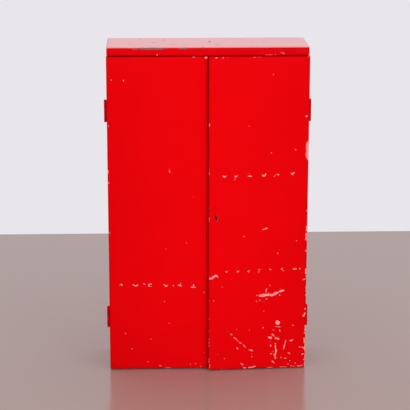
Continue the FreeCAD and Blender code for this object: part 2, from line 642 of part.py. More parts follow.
# Slide bolts: a rod in two straps on a base plate, riveted to the left door's back lip beside the seam.
# The top one shoots up into the head rail and the bottom one down into the sill.
guide_rivets = []
for name, foot, head, way in (("top", "top_guide_foot", "top_guide_head", "1"),
                              ("bottom", "low_guide_foot", "low_guide_head", "-1")):
    middle = f"({foot} + guide_length / 2)"
    guide = new_body(f"{name}_bolt_guide")
    pad(guide, "XZ_Plane", "door_back", "door_back + guide_sheet", oblong(
        "rod_x - guide_width / 2", "rod_x + guide_width / 2", foot, head))
    for low, high in ((foot, f"{foot} + strap_length"), (f"{head} - strap_length", head)):
        pad(guide, "XY_Plane", low, high, oblong(
            "rod_x - strap_width / 2", "rod_x + strap_width / 2", "door_back + guide_sheet", "strap_rear"))
    fold_round(guide, "bend", lambda box: lies_at(box.YMin, box.YMax, "strap_rear")
               and box.ZMax - box.ZMin > number_of("strap_length") / 2)
    holes(guide, "XY_Plane", foot, head, [("rod_x", "rod_y", "rod_bore")])
    spots = [f"{middle} {sign} rivet_pitch / 2" for sign in ("-", "+")]
    for body, low, high in ((guide, "door_back", "door_back + guide_sheet"),
                            (left_pan, "door_back - sheet", "door_back")):
        holes(body, "XZ_Plane", low, high, [("rod_x", spot, "rivet_hole") for spot in spots])
    guide_rivets += [rivet("rod_x", "door_back - sheet", "door_back + guide_sheet", spot, False) for spot in spots]
    PARTS[f"{name}_bolt"] = joined([
        rod("Z", ("rod_x", "rod_y", f"{foot} - rod_overrun"), "guide_length + 2 * rod_overrun", "rod_radius"),
        rod("Y", ("rod_x", "rod_y", f"{middle} - {way} * rod_throw / 2"), "knob_length", "knob_radius")], f"{name}_bolt")
grouped(guide_rivets, "bolt_guide_rivets")

# Every object has to be sound before any piece is written.
doc.recompute()
for item in doc.Objects:
    if {"Invalid", "Error"} & set(item.State):
        raise RuntimeError(f"{item.Label} failed: {item.State}")
for name, piece in PARTS.items():
    if piece.Shape.isNull() or not piece.Shape.isValid():
        raise RuntimeError(f"{name} has no sound shape")
os.makedirs("parts", exist_ok=True)
for name, piece in PARTS.items():
    piece.Shape.exportStep(f"parts/{name}.step")
    box = piece.Shape.BoundBox
    print(f"{name}: {len(piece.Shape.Solids)} solids, {piece.Shape.Volume:.0f} mm3, "
          f"x {box.XMin:.1f} to {box.XMax:.1f}, y {box.YMin:.1f} to {box.YMax:.1f}, z {box.ZMin:.1f} to {box.ZMax:.1f}")
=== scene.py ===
import json
import math

import bmesh
import bpy
import numpy as np
from mathutils import Matrix, Vector


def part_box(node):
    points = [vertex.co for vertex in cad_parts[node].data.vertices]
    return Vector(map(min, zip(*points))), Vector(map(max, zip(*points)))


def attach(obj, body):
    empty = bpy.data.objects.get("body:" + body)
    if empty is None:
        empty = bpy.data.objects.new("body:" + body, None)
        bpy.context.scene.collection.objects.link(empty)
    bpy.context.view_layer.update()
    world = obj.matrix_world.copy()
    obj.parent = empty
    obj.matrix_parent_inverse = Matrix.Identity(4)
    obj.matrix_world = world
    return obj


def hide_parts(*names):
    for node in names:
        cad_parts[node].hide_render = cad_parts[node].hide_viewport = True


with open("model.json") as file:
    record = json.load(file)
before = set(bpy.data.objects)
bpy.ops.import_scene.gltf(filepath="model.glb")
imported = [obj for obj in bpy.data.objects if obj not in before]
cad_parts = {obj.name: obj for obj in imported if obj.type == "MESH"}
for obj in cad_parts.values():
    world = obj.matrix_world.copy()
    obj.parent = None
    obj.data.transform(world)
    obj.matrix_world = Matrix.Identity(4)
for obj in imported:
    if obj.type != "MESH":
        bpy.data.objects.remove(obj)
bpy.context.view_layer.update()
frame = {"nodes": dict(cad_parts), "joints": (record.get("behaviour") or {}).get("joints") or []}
scene = bpy.context.scene
scene.view_settings.view_transform = "Standard"

# The photographer's view: a long lens at standing height, four and a half metres in front of the
# doors and a little to their left, looking slightly down.
lens = 134.9
sensor = 36
eye = Vector((-0.1685, -4.5695, 1.6743))
pan_right = math.radians(2.046)
tilt_down = math.radians(14.429)
roll = math.radians(0.071)
view = bpy.data.objects.new("photo_view", bpy.data.cameras.new("photo_view"))
view.data.lens = lens
view.data.sensor_width = sensor
view.matrix_world = (Matrix.Translation(eye)
                     @ Matrix.Rotation(-pan_right, 4, "Z")
                     @ Matrix.Rotation(math.pi / 2 - tilt_down, 4, "X")
                     @ Matrix.Rotation(roll, 4, "Z"))
scene.collection.objects.link(view)
scene.camera = view


# The studio: a plain pale floor that ends where the wall stands, and a pale wall all round that
# only the camera and reflections see. The light is soft and comes from the front, the top and a
# little from the right.
class Shade:
    """A socket of a node tree. Sums and products of shades add the nodes that work them out."""

    def __init__(self, tree, socket=None):
        self.tree = tree
        self.socket = socket

    def node(self, kind, settings, sockets, output=0):
        """Add a node, set it up, then give its sockets their values or links."""
        made = self.tree.nodes.new(kind)
        for name, value in settings.items():
            setattr(made, name, value)
        for name, value in sockets.items():
            if isinstance(value, Shade):
                self.tree.links.new(value.socket, made.inputs[name])
            else:
                made.inputs[name].default_value = value
        return Shade(self.tree, made.outputs[output]) if made.outputs else None

    def maths(self, operation, *values):
        return self.node("ShaderNodeMath", {"operation": operation}, dict(enumerate(values)))

    def __add__(self, other):
        return self.maths("ADD", self, other)

    def __sub__(self, other):
        return self.maths("SUBTRACT", self, other)

    def __rsub__(self, other):
        return self.maths("SUBTRACT", other, self)

    def __mul__(self, other):
        return self.maths("MULTIPLY", self, other)

    __radd__ = __add__
    __rmul__ = __mul__


def new_piece(name, bm):
    """An object made of a finished shape, with its place in its mesh."""
    mesh = bpy.data.meshes.new(name)
    bm.to_mesh(mesh)
    bm.free()
    piece = bpy.data.objects.new(name, mesh)
    scene.collection.objects.link(piece)
    return piece


wall_colour = (0.81, 0.79, 0.83, 1)
sky_colour = (1, 0.985, 0.97, 1)
sky_light = 0.85
floor_colour = (0.34, 0.245, 0.225, 1)
floor_polish = 0.17
floor_gloss = 0.62
wall_foot = 1.48
floor_reach = 7.0

world = bpy.data.worlds.new("studio")
world.use_nodes = True
world.node_tree.nodes.clear()
air = Shade(world.node_tree)
camera_ray, glossy_ray, clear_ray = (
    air.node("ShaderNodeLightPath", {}, {}, f"Is {kind} Ray")
    for kind in ("Camera", "Glossy", "Transmission"))
mirrored = air.maths("MAXIMUM", glossy_ray, clear_ray)
wall_seen = air.maths("MAXIMUM", camera_ray, mirrored)
soft_light, wall_light = (
    air.node("ShaderNodeBackground", {}, {"Color": colour, "Strength": strength})
    for colour, strength in ((sky_colour, sky_light), (wall_colour, 1)))
air.node("ShaderNodeOutputWorld", {}, {"Surface": air.node(
    "ShaderNodeMixShader", {}, {0: wall_seen, 1: soft_light, 2: wall_light})})
scene.world = world

ground = bmesh.new()
bmesh.ops.create_grid(ground, x_segments=1, y_segments=1, size=0.5)
bmesh.ops.scale(ground, vec=(2 * floor_reach, floor_reach + wall_foot, 1), verts=ground.verts)
bmesh.ops.translate(ground, vec=(0, (wall_foot - floor_reach) / 2, 0), verts=ground.verts)
floor = new_piece("studio_floor", ground)
floor_paint = bpy.data.materials.new("studio_floor")
floor_paint.use_nodes = True
floor_sockets = floor_paint.node_tree.nodes["Principled BSDF"].inputs
floor_sockets["Base Color"].default_value = floor_colour
floor_sockets["Roughness"].default_value = floor_polish
floor_sockets["Specular IOR Level"].default_value = floor_gloss
floor.data.materials.append(floor_paint)


def softbox(name, place, target, width, height, power):
    lamp = bpy.data.lights.new(name, "AREA")
    lamp.shape = "RECTANGLE"
    lamp.size = width
    lamp.size_y = height
    lamp.energy = power
    box = bpy.data.objects.new(name, lamp)
    box.location = place
    box.rotation_euler = (Vector(target) - Vector(place)).to_track_quat("-Z", "Y").to_euler()
    box.visible_glossy = False
    scene.collection.objects.link(box)


mid_height = (0, 0, 0.5)
cap_height = (0, 0, 1)
softbox("key_softbox", (2.0, -2.9, 0.9), mid_height, width=2.2, height=1.6, power=38)
softbox("fill_softbox", (-1.9, -3.1, 1.0), mid_height, width=2.2, height=1.6, power=24)
softbox("top_softbox", (0.2, 0.4, 3.6), cap_height, width=3.0, height=2.4, power=14)


# Sides and back: single steel sheets folded in at the front as the door stiles and at the rear as
# welding flanges, with the back spot welded between them. Brushed with red gloss enamel over a
# pale primer, which shows where the enamel is rubbed off or chipped.
MM = 0.001
enamel_red = (0.84, 0.0008, 0.003, 1)
dark_enamel = (0.50, 0.0008, 0.002, 1)
primer_pink = (0.96, 0.26, 0.24, 1)
primer_pale = (0.98, 0.41, 0.39, 1)
bare_steel = (0.16, 0.14, 0.135, 1)
untouched = 50
chip_lip = 0.3
grain_bite = 5.0
flake_bite = 9.0
mark_bite = 0.7
primer_roughness = 0.62
paint_relief = 0.5 * MM


def new_material(name):
    """An empty material, with the shade that its first nodes start from."""
    material = bpy.data.materials.new(name)
    material.use_nodes = True
    material.node_tree.nodes.clear()
    return material, Shade(material.node_tree)


def noise(start, place, size, detail=2.0, seed=0.0):
    """Soft noise from nought to one, with features of about one size in metres."""
    shifted = start.node("ShaderNodeVectorMath", {"operation": "ADD"},
                         {0: place, 1: (seed, -seed, seed / 2)})
    return start.node("ShaderNodeTexNoise", {},
                      {"Vector": shifted, "Scale": 1 / size, "Detail": detail})


def ramp(value, low, high, to_low=0.0, to_high=1.0):
    """A value stretched from one range to another, and held at its ends."""
    return value.node("ShaderNodeMapRange", {"clamp": True}, {
        "Value": value, "From Min": low, "From Max": high, "To Min": to_low, "To Max": to_high})


def blend(mask, first, second):
    """One colour where the mask is nought and another where it is one."""
    return mask.node("ShaderNodeMix", {"data_type": "RGBA"}, {0: mask, 6: first, 7: second}, 2)


def blend_value(mask, first, second):
    """One number where the mask is nought and another where it is one."""
    return mask.node("ShaderNodeMix", {"data_type": "FLOAT"}, {0: mask, 2: first, 3: second})


def toned(tone, colour):
    """A colour made darker by a tone below one."""
    grey = tone.node("ShaderNodeCombineColor", {}, {0: tone, 1: tone, 2: tone})
    return tone.node("ShaderNodeMix", {"data_type": "RGBA", "blend_type": "MULTIPLY"},
                     {0: 1.0, 6: colour, 7: grey}, 2)


def axes_of(start, place):
    """The three coordinates of a place, in millimetres."""
    parts = [start.node("ShaderNodeSeparateXYZ", {}, {"Vector": place}, axis) for axis in "XYZ"]
    return [part * (1 / MM) for part in parts]


def finish_surface(start, sockets, height, depth):
    """Join a surface's sockets and its relief to the material's output."""
    relief = start.node("ShaderNodeBump", {},
                        {"Height": height, "Distance": depth, "Strength": 1.0})
    surface = start.node("ShaderNodeBsdfPrincipled", {}, dict(sockets, Normal=relief))
    start.node("ShaderNodeOutputMaterial", {}, {"Surface": surface})


def red_enamel(name, edge_of, mark_of=None, bare_of=None, colours=(enamel_red, dark_enamel),
               roughness=0.3, gloss=0.0, shine=0.04, side_shade=0.92):
    """Red enamel with worn edges, and with marks where a piece has them.

    Gaps to edges and marks are in millimetres, below nought inside a mark. Grain and flakes in
    the paint make every outline ragged. The paint is darker in a narrow band round what is worn
    and along the folds, and painted shade darkens it towards the foot and the outer edges.
    """
    material, start = new_material(name)
    place = start.node("ShaderNodeTexCoord", {}, {}, "Object")
    patches = noise(start, place, size=45 * MM, seed=3.1)
    grain = noise(start, place, size=3 * MM, detail=3.0, seed=1.7)
    flakes = noise(start, place, size=8.5 * MM, seed=4.4)
    clouds = noise(start, place, size=220 * MM, detail=3.0, seed=5.3)
    ragged = (grain - 0.5) * grain_bite + (flakes - 0.5) * flake_bite
    rubbed_further = ramp(patches, 0.48, 0.70, to_low=-2.2, to_high=2.6)
    fold = edge_of(start, place)
    edge = fold - rubbed_further + ragged
    worn = ramp(edge, chip_lip, -chip_lip)
    # The paint is made darker in a narrow band near worn edges, along the folds and round the
    # marks.
    darker_band = worn.maths("MAXIMUM", ramp(edge, 3.0, 0.3) * 0.4, ramp(fold, 7.0, 0.5) * 0.45)
    through_primer = ramp(edge, -1.6, -2.2)
    if mark_of:
        mark = mark_of(start) + ragged * mark_bite
        worn = worn.maths("MAXIMUM", worn, ramp(mark, chip_lip, -chip_lip))
        darker_band = darker_band.maths("MAXIMUM", darker_band, ramp(mark, 2.4, 0.2) * 0.4)
    across, _, above_floor = axes_of(start, place)
    beside = across.maths("ABSOLUTE", across)
    # Painted shade: the paint is made darker towards the outer edges and the foot, where less light
    # falls.
    painted_shade = ramp(beside, 110, 300, 1.0, side_shade) * ramp(above_floor, 15, 170, 0.955, 1.0)
    tone = ramp(clouds, 0.3, 0.7, 0.955, 1.0) * painted_shade
    paint = toned(tone, blend(darker_band, *colours))
    primer = blend(ramp(flakes, 0.4, 0.6), primer_pink, primer_pale)
    shown = blend(worn, paint, blend(through_primer * 0.7, primer, bare_steel))
    if bare_of:
        scuffed = ramp(bare_of(start) + ragged * mark_bite, chip_lip, -chip_lip)
        shown = blend(scuffed * 0.85, shown, bare_steel)
        worn = worn.maths("MAXIMUM", worn, scuffed)
    swell = noise(start, place, size=300 * MM, detail=1.0, seed=8.9)
    brushing = noise(start, place, size=4 * MM)
    height = swell * 6.0 - worn * 0.12 + brushing * 0.012
    paint_roughness = roughness + ramp(clouds, 0.3, 0.7, -0.04, 0.06)
    finish_surface(start, {
        "Base Color": shown, "Roughness": blend_value(worn, paint_roughness, primer_roughness),
        "Specular IOR Level": gloss, "Coat Weight": (1 - worn) * shine, "Coat IOR": 1.6,
        "Coat Roughness": 0.16}, height, paint_relief)
    return material


def edges_of_box(node, pairs, slack=0.0):
    """A function for the distance to some of a box's edges, each where two of its sides meet."""
    corners = dict(zip("-+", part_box(node)))

    def nearest(start, place):
        coordinates = dict(zip("xyz", axes_of(start, place)))
        gap = untouched
        for pair in pairs:
            across, along = (coordinates[axis] - getattr(corners[end], axis) / MM
                             for end, axis in pair)
            distance = across.maths("SQRT", across * across + along * along)
            gap = distance.maths("MINIMUM", distance, gap)
        return gap + slack
    return nearest


def stray_chips(rarity):
    """A function for the distance to chips strewn at random, fewer with a higher rarity."""
    def nearest(start):
        place = start.node("ShaderNodeTexCoord", {}, {}, "Object")
        return (rarity - noise(start, place, size=19 * MM, detail=1.0, seed=6.6)) * 36
    return nearest


def coat(node, material):
    """Give a carried-over sheet its finish."""
    for slot in frame["nodes"][node].material_slots:
        slot.material = material


for hand, side in (("left", "-x"), ("right", "+x")):
    folds = edges_of_box(f"{hand}_side", [(side, "-y"), (side, "+y"), (side, "-z")], slack=0.6)
    coat(f"{hand}_side", red_enamel(f"{hand}_side_enamel", folds, stray_chips(rarity=0.76)))
folds = edges_of_box("back_panel", [("-x", "+y"), ("+x", "+y"), ("+y", "-z")], slack=0.8)
coat("back_panel", red_enamel("back_enamel", folds, stray_chips(rarity=0.78)))

# Bottom and head rail: the bottom sheet is folded up as the sill, and the rail is an angle that
# stops the door tops. Both are spot welded between the stiles, in the same red, the sill duller,
# and worn where the doors shut on them.
dull_red = (0.62, 0.004, 0.006, 1)
dark_dull_red = (0.34, 0.002, 0.003, 1)
inside_finish = {"colours": (dull_red, dark_dull_red), "roughness": 0.42}
folds = edges_of_box("bottom_panel", [("-y", "+z"), ("-y", "-z")], slack=0.2)
coat("bottom_panel", red_enamel("sill_enamel", folds, stray_chips(rarity=0.72), **inside_finish))
folds = edges_of_box("head_rail", [("-y", "-z")], slack=0.6)
coat("head_rail", red_enamel("rail_enamel", folds, stray_chips(rarity=0.76)))

# Shelves: two sheets folded down at the front, laid on short angle cleats that are spot welded to
# the sides. Tools dragged over them have worn the front folds to the metal and scarred the tops.
for level in ("lower", "upper"):
    folds = edges_of_box(f"{level}_shelf", [("-y", "+z"), ("-y", "-z")], slack=-0.3)
    coat(f"{level}_shelf", red_enamel(
        f"{level}_shelf_enamel", folds, stray_chips(rarity=0.72), **inside_finish))
    folds = edges_of_box(f"{level}_shelf", [("-y", "-z")], slack=0.6)
    cleat_enamel = red_enamel(
        f"{level}_shelf_cleat_enamel", folds, stray_chips(rarity=0.76), **inside_finish)
    for hand in ("left", "right"):
        coat(f"{hand}_{level}_cleat", cleat_enamel)


# Top cap: one sheet folded down at the front and the sides, spot welded to the sides and the
# back. Its front fold is the rim over the doors, scuffed grey along its upper bend by what was
# slid over it. Marks are strokes: chains of places with half the width at each, in millimetres.
def capsule_gap(points, strokes):
    """Millimetres from points to the nearest stroke."""
    nearest = np.full(len(points), 1e3)
    for stroke in strokes:
        for (start, start_half), (end, end_half) in zip(stroke, stroke[1:] or stroke):
            run = np.array(end, float) - start
            length = max(run @ run, 1e-9)
            share = np.clip((points - start) @ run / length, 0, 1)
            gap = np.linalg.norm(points - start - share[:, None] * run, axis=1)
            nearest = np.minimum(nearest, gap - start_half - share * (end_half - start_half))
    return nearest


def thinned(strokes, share):
    """The same strokes with their half widths brought down to a share."""
    return [[(*spot[:-1], spot[-1] * share) for spot in stroke] for stroke in strokes]


def laid(strokes, axis, level):
    """Strokes drawn flat, put on a face that stands at a level across one axis."""
    return [[((*spot[:axis], level, *spot[axis:2]), spot[2]) for spot in stroke]
            for stroke in strokes]


def slice_up(bm, axis, low, high, step):
    """Cut all faces by planes across one axis, about a step apart."""
    normal = Vector((0, 0, 0))
    normal[axis] = 1
    count = round((high - low) / step)
    for cut in range(1, count):
        place = normal * (low + (high - low) * cut / count)
        bmesh.ops.bisect_plane(bm, geom=[*bm.verts, *bm.edges, *bm.faces], plane_co=place,
                               plane_no=normal, dist=1e-7)


def split_near(bm, strokes, coarse, fine, margin=1.1, shortest=0.6):
    """Halve the faces near the strokes until their edges are fine enough."""
    step = coarse
    while step > fine:
        faces = [face for face in bm.faces if face.calc_area() > 1e-9]
        middles = np.array([face.calc_center_median() for face in faces]) / MM
        near = capsule_gap(middles, strokes) < margin * step / MM
        edges = {edge for face, hit in zip(faces, near) if hit for edge in face.edges
                 if edge.calc_length() > shortest * step}
        bmesh.ops.subdivide_edges(bm, edges=list(edges), cuts=1, use_grid_fill=True)
        step /= 2


def block(low, high):
    """A plain block between two corners, to be cut and folded to shape."""
    bm = bmesh.new()
    bmesh.ops.create_cube(bm, size=1)
    bmesh.ops.scale(bm, vec=high - low, verts=bm.verts)
    bmesh.ops.translate(bm, vec=(low + high) / 2, verts=bm.verts)
    return bm


def rounded(bm, corners, radius, steps, kind="EDGES"):
    """Round some edges or corners, as the bends and the cut corners of sheet are."""
    bmesh.ops.bevel(bm, geom=corners, offset=radius, offset_type="OFFSET", affect=kind,
                    segments=steps, profile=0.5, material=-1)


def shell_piece(name, bm, thickness, grow=-1):
    """A sheet of even thickness from a surface, grown inwards (-1) or to both sides (0)."""
    piece = new_piece(name, bm)
    wall = piece.modifiers.new("sheet", "SOLIDIFY")
    wall.thickness = thickness
    wall.offset = grow
    wall.use_even_offset = True
    apply_modifiers(piece)
    return piece


def apply_modifiers(piece):
    bpy.context.view_layer.update()
    evaluated = piece.evaluated_get(bpy.context.evaluated_depsgraph_get())
    mesh = bpy.data.meshes.new_from_object(evaluated)
    piece.modifiers.clear()
    piece.data = mesh


def outer_verts(bm, middle):
    """Which vertices lie on the outside of a shell, seen from a point inside its hollow."""
    bm.normal_update()
    return np.array([vert.normal.dot(vert.co - middle) > 0 for vert in bm.verts])


def write_field(mesh, name, values):
    values = np.asarray(values, np.float32)
    mesh.attributes.new(name, "FLOAT", "POINT").data.foreach_set("value", values)


def write_wear(mesh, outside, **wear):
    """Keep the distance to each kind of wear on the outside of a sheet."""
    spots = np.array([vert.co for vert in mesh.vertices]) / MM
    for name, strokes in wear.items():
        write_field(mesh, name, np.where(outside, capsule_gap(spots, strokes), untouched))
    return spots


def field(name):
    """A function for a number kept on the mesh under a name."""
    def read(start, place=None):
        return start.node("ShaderNodeAttribute", {"attribute_name": name}, {}, "Fac")
    return read


def stand_for(piece, node, body, slot, *materials):
    """Let a piece stand for its node, turned where it rides on the door that is ajar."""
    piece.data.polygons.foreach_set("use_smooth", [True] * len(piece.data.polygons))
    piece.data.set_sharp_from_angle(angle=sharp_bend)
    if body in ("right_door", "lock_throw"):
        piece.data.transform(open_turn)
    for material in materials:
        piece.data.materials.append(material)
    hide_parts(node)
    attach(piece, body)


joints = {joint["name"]: joint for joint in frame["joints"]}
right_hinge = Matrix.Translation(joints["right_door_hinge"]["pos_m"])
ajar = math.radians(-joints["right_door_hinge"]["range_deg"][0])
open_turn = right_hinge @ Matrix.Rotation(ajar, 4, "Z") @ right_hinge.inverted()
sharp_bend = math.radians(35)
sheet = 1.0 * MM
cap_bend = 2.5 * MM
rim_return = 22.3 * MM
coarse_grid = 24 * MM
fine_grid = 1.5 * MM
cap_low, cap_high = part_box("top_cap")
rim_front = cap_low.y / MM
cap_top = cap_high.z / MM
rim_scuffs = laid([
    [(-221, 996, 1.6), (-208, 996, 1.8)],
    [(-199, 997, 1.8), (-170, 996.5, 2.7), (-147, 996.5, 2.3), (-128, 997.5, 1.4)],
    [(-82, 997, 2.0), (-61, 997.5, 1.7)], [(-21, 999, 1.0), (-11, 999, 1.0)]], 1, rim_front)
top_scuffs = laid([
    [(-204, 78, 1.9), (-198, 70, 1.6)], [(-164, 9, 1.8), (-155, -8, 2.0)],
    [(-131, 43, 1.6), (-125, 61, 1.6)], [(-108, -41, 2.0), (-98, -54, 1.8)],
    [(7, 29, 1.8), (10, -4, 1.6)], [(25, -41, 2.0), (35, -65, 2.0)],
    [(106, 63, 1.8), (112, 60, 1.6)], [(136, 15, 1.9), (144, 6, 1.6)],
    [(167, 24, 1.8), (174, 18, 1.6)]], 2, cap_top)
rim_chips = laid([
    [(-149, 978, 2.0)], [(170, 976, 1.6), (187, 976, 1.4)], [(-297, 978, 1.6)],
    [(297, 977, 1.4)]], 1, rim_front)
cap_edges = laid([
    [(-298, 1000, -1.6), (298, 1000, -1.4)],
    [(-298, 976, -1.4), (-70, 976, -1.8), (-50, 976, -4)],
    [(0, 976, -4), (20, 976, -1.8), (298, 976, -1.2)],
    *([(x, 976, -0.6), (x, 1000, -0.6)] for x in (-298, 298))], 1, rim_front)
cap_edges += laid([[(x, rim_front, -0.6), (x, 97, -1.2)] for x in (-298, 298)], 2, cap_top)

cap = block(cap_low, cap_high)
open_sides = [face for face in cap.faces if face.normal.z < -0.5 or face.normal.y > 0.5]
bmesh.ops.delete(cap, geom=open_sides, context="FACES")
foot = [edge for edge in cap.edges
        if all(vert.co.y < 0 and vert.co.z < cap_low.z + sheet for vert in edge.verts)]
turned_in = bmesh.ops.extrude_edge_only(cap, edges=foot)["geom"]
lip = [item for item in turned_in if isinstance(item, bmesh.types.BMVert)]
bmesh.ops.translate(cap, vec=(0, rim_return, 0), verts=lip)
rounded(cap, [edge for edge in cap.edges if not edge.is_boundary], cap_bend, 4)
bmesh.ops.recalc_face_normals(cap, faces=cap.faces)
top_cap = shell_piece("cap_sheet", cap, sheet)
cap = bmesh.new()
cap.from_mesh(top_cap.data)
slice_up(cap, 0, cap_low.x, cap_high.x, coarse_grid)
slice_up(cap, 1, cap_low.y, cap_high.y, coarse_grid)
split_near(cap, rim_scuffs + top_scuffs + rim_chips, coarse_grid, fine_grid)
outside = outer_verts(cap, Vector((0, 0, cap_low.z)))
cap.to_mesh(top_cap.data)
cap.free()
write_wear(top_cap.data, outside, edge=cap_edges, mark=rim_chips, bare=rim_scuffs + top_scuffs)

rim_red = (0.75, 0.0008, 0.004, 1)
# A painted highlight: the upper part of the rim's front bend is painted pale pink, as light caught
# on the bend.
fold_highlight_red = (0.93, 0.22, 0.23, 1)
cap_wear = field("edge"), field("mark"), field("bare")
stand_for(top_cap, "top_cap", "carcass", "red_outside",
          red_enamel("rim_enamel", *cap_wear, colours=(rim_red, dark_enamel), side_shade=1.0),
          red_enamel("cap_top_enamel", *cap_wear, gloss=0.7, shine=1.0),
          red_enamel("fold_highlight_enamel", *cap_wear, colours=(fold_highlight_red, fold_highlight_red), side_shade=1.0))
top_slot, fold_highlight_slot = 1, 2
# Faces of the upper front bend take the painted highlight, and the level top takes the glossy top
# enamel.
for face in top_cap.data.polygons:
    at_bend = face.center.z > cap_high.z - cap_bend and face.center.y < cap_low.y + cap_bend
    if at_bend and 0.4 < face.normal.z < 0.99:
        face.material_index = fold_highlight_slot
    elif face.normal.z > 0.9 and face.center.z > cap_high.z - sheet / 2:
        face.material_index = top_slot

# Doors: pans folded from one sheet, with a lip turned in all round at the back, spot welded
# through the face to the racks behind. Years of knocks have chipped them, most at the foot of the
# right door and down its hinge edge.
weld_grid = 0.75 * MM
door_bend = 2.2 * MM
lip_bend = 1.2 * MM
cross_lip = 15 * MM
weld_radius = 4.0
weld_depth = 0.54
shut_turn = open_turn.inverted()


def shut_box(node):
    """A right door piece's corners with the door shut."""
    places = [shut_turn @ vert.co for vert in frame["nodes"][node].data.vertices]
    return [Vector([pick(place[axis] for place in places) for axis in range(3)])
            for pick in (min, max)]


def cut_out(piece, low, high, radii=None):
    """Cut a block out of a piece, or a round along Y with its radii at the low and high ends."""
    if radii:
        bm = bmesh.new()
        bmesh.ops.create_cone(bm, cap_ends=True, segments=32, radius1=radii[0], radius2=radii[1],
                              depth=1)
        bmesh.ops.rotate(bm, matrix=Matrix.Rotation(-math.pi / 2, 3, "X"), verts=bm.verts)
        bmesh.ops.scale(bm, vec=(1, high.y - low.y, 1), verts=bm.verts)
        bmesh.ops.recalc_face_normals(bm, faces=bm.faces)
        bmesh.ops.translate(bm, vec=(low + high) / 2, verts=bm.verts)
    else:
        bm = block(low, high)
    cutter = new_piece("cutter", bm)
    removal = piece.modifiers.new("cut", "BOOLEAN")
    removal.operation = "DIFFERENCE"
    removal.solver = "EXACT"
    removal.object = cutter
    apply_modifiers(piece)
    bpy.data.objects.remove(cutter)


def pan_surface(low, high, left_lip, right_lip):
    """The outer surface of a door pan: face, four sides, and four lips with mitred corners."""
    bm = block(low, high)
    bmesh.ops.delete(bm, geom=[face for face in bm.faces if face.normal.y > 0.5], context="FACES")
    rims = [edge for edge in bm.edges if edge.is_boundary]
    turned_in = bmesh.ops.extrude_edge_only(bm, edges=rims)["geom"]
    middle = (low + high) / 2
    for vert in turned_in:
        if isinstance(vert, bmesh.types.BMVert):
            vert.co.x += left_lip if vert.co.x < middle.x else -right_lip
            vert.co.z += cross_lip if vert.co.z < middle.z else -cross_lip
    rounded(bm, [edge for edge in bm.edges if not edge.is_boundary
                 and all(vert.co.y < middle.y for vert in edge.verts)], door_bend, 4)
    rounded(bm, [edge for edge in bm.edges if not edge.is_boundary
                 and edge.calc_face_angle(0) > 1], lip_bend, 2)
    bmesh.ops.recalc_face_normals(bm, faces=bm.faces)
    return bm


def bolt_slot(x_low, x_high):
    """The opening in a door's edge fold that the lock's bolt passes through."""
    return (Vector((x_low, bolt_low.y - slot_gap, bolt_low.z - slot_gap)),
            Vector((x_high, bolt_high.y + slot_gap, bolt_high.z + slot_gap)))


def weld_row(first, pitch, count, height):
    """The welds of a row, as their places across and up the door in millimetres."""
    return [(first + pitch * place, height) for place in range(count)]


def door(name, low, high, lips, cuts, welds, marks, edges, rubbed=()):
    """A door pan, drawn in its shut place, with its welds pressed in and its marks written on."""
    pan = shell_piece(f"{name}_pan", pan_surface(low, high, *lips), sheet)
    for cut in cuts:
        cut_out(pan, *cut)
    front = low.y / MM
    marks, edges, rubbed, pressed = (laid(strokes, 1, front) for strokes in (
        marks, edges, rubbed, [[(x, z, weld_radius)] for x, z in welds]))
    bm = bmesh.new()
    bm.from_mesh(pan.data)
    slice_up(bm, 0, low.x, high.x, coarse_grid)
    slice_up(bm, 2, low.z, high.z, coarse_grid)
    split_near(bm, [*marks, *rubbed], coarse_grid, fine_grid)
    split_near(bm, pressed, fine_grid, weld_grid)
    outside = outer_verts(bm, Vector(((low.x + high.x) / 2, high.y, (low.z + high.z) / 2)))
    bm.to_mesh(pan.data)
    bm.free()
    spots = write_wear(pan.data, outside, edge=edges, mark=marks, bare=rubbed)
    face = np.abs(spots[:, 1] - front) < 0.1
    for x, z in welds:
        share = np.hypot(spots[:, 0] - x, spots[:, 2] - z) / weld_radius
        spots[:, 1] += np.where(face & (share < 1), weld_depth * (1 - share ** 2) ** 2, 0)
    pan.data.vertices.foreach_set("co", (spots * MM).ravel())
    write_field(pan.data, "inside", np.where(outside, untouched, 0))

    def marks_and_strays(start):
        strays = stray_chips(rarity=0.77)(start) + field("inside")(start)
        return start.maths("MINIMUM", field("mark")(start), strays)

    enamel = red_enamel(f"{name}_pan_enamel", field("edge"), marks_and_strays, field("bare"))
    stand_for(pan, f"{name}_door_pan", f"{name}_door", "red_door", enamel)


# Left door: the steel pan that holds the slide bolts, hung on two hinges at its left. Six welds
# low down hold its rack, a few flecks are off it, and its edges are nearly whole. The slot in its
# edge fold takes the lock's bolt.
left_low, left_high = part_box("left_door_pan")
bolt_low, bolt_high = shut_box("lock_bolt")
slot_gap = 0.6 * MM
left_lips = (28 * MM, 24 * MM)
left_rack_row = 272
left_welds = weld_row(first=left_low.x / MM + 38, pitch=43.7, count=6, height=left_rack_row)
left_weld_chips = [
    [(-267, 273, 1.8), (-263, 276, 1.8), (-259, 272, 1.8), (-265, 269, 1.5)],
    [(-227, 274, 2.0), (-220, 270, 2.2), (-214, 273, 1.8)],
    [(-181, 271, 1.5), (-179, 275, 1.5), (-172, 275, 1.5)], [(-180, 269, 1.2), (-172, 269, 1.2)],
    [(-133, 273, 2.0), (-127, 268, 2.2), (-122, 272, 1.8)], [(-105, 270, 1.8)],
    [(-90, 272, 2.4), (-81, 269, 2.6)], [(-83, 282, 1.2), (-83, 274, 1.2)],
    [(-51, 265, 2.2), (-37, 264, 2.4)], [(-43, 271, 1.8)], [(-198, 278, 0.8), (-191, 275, 0.8)]]
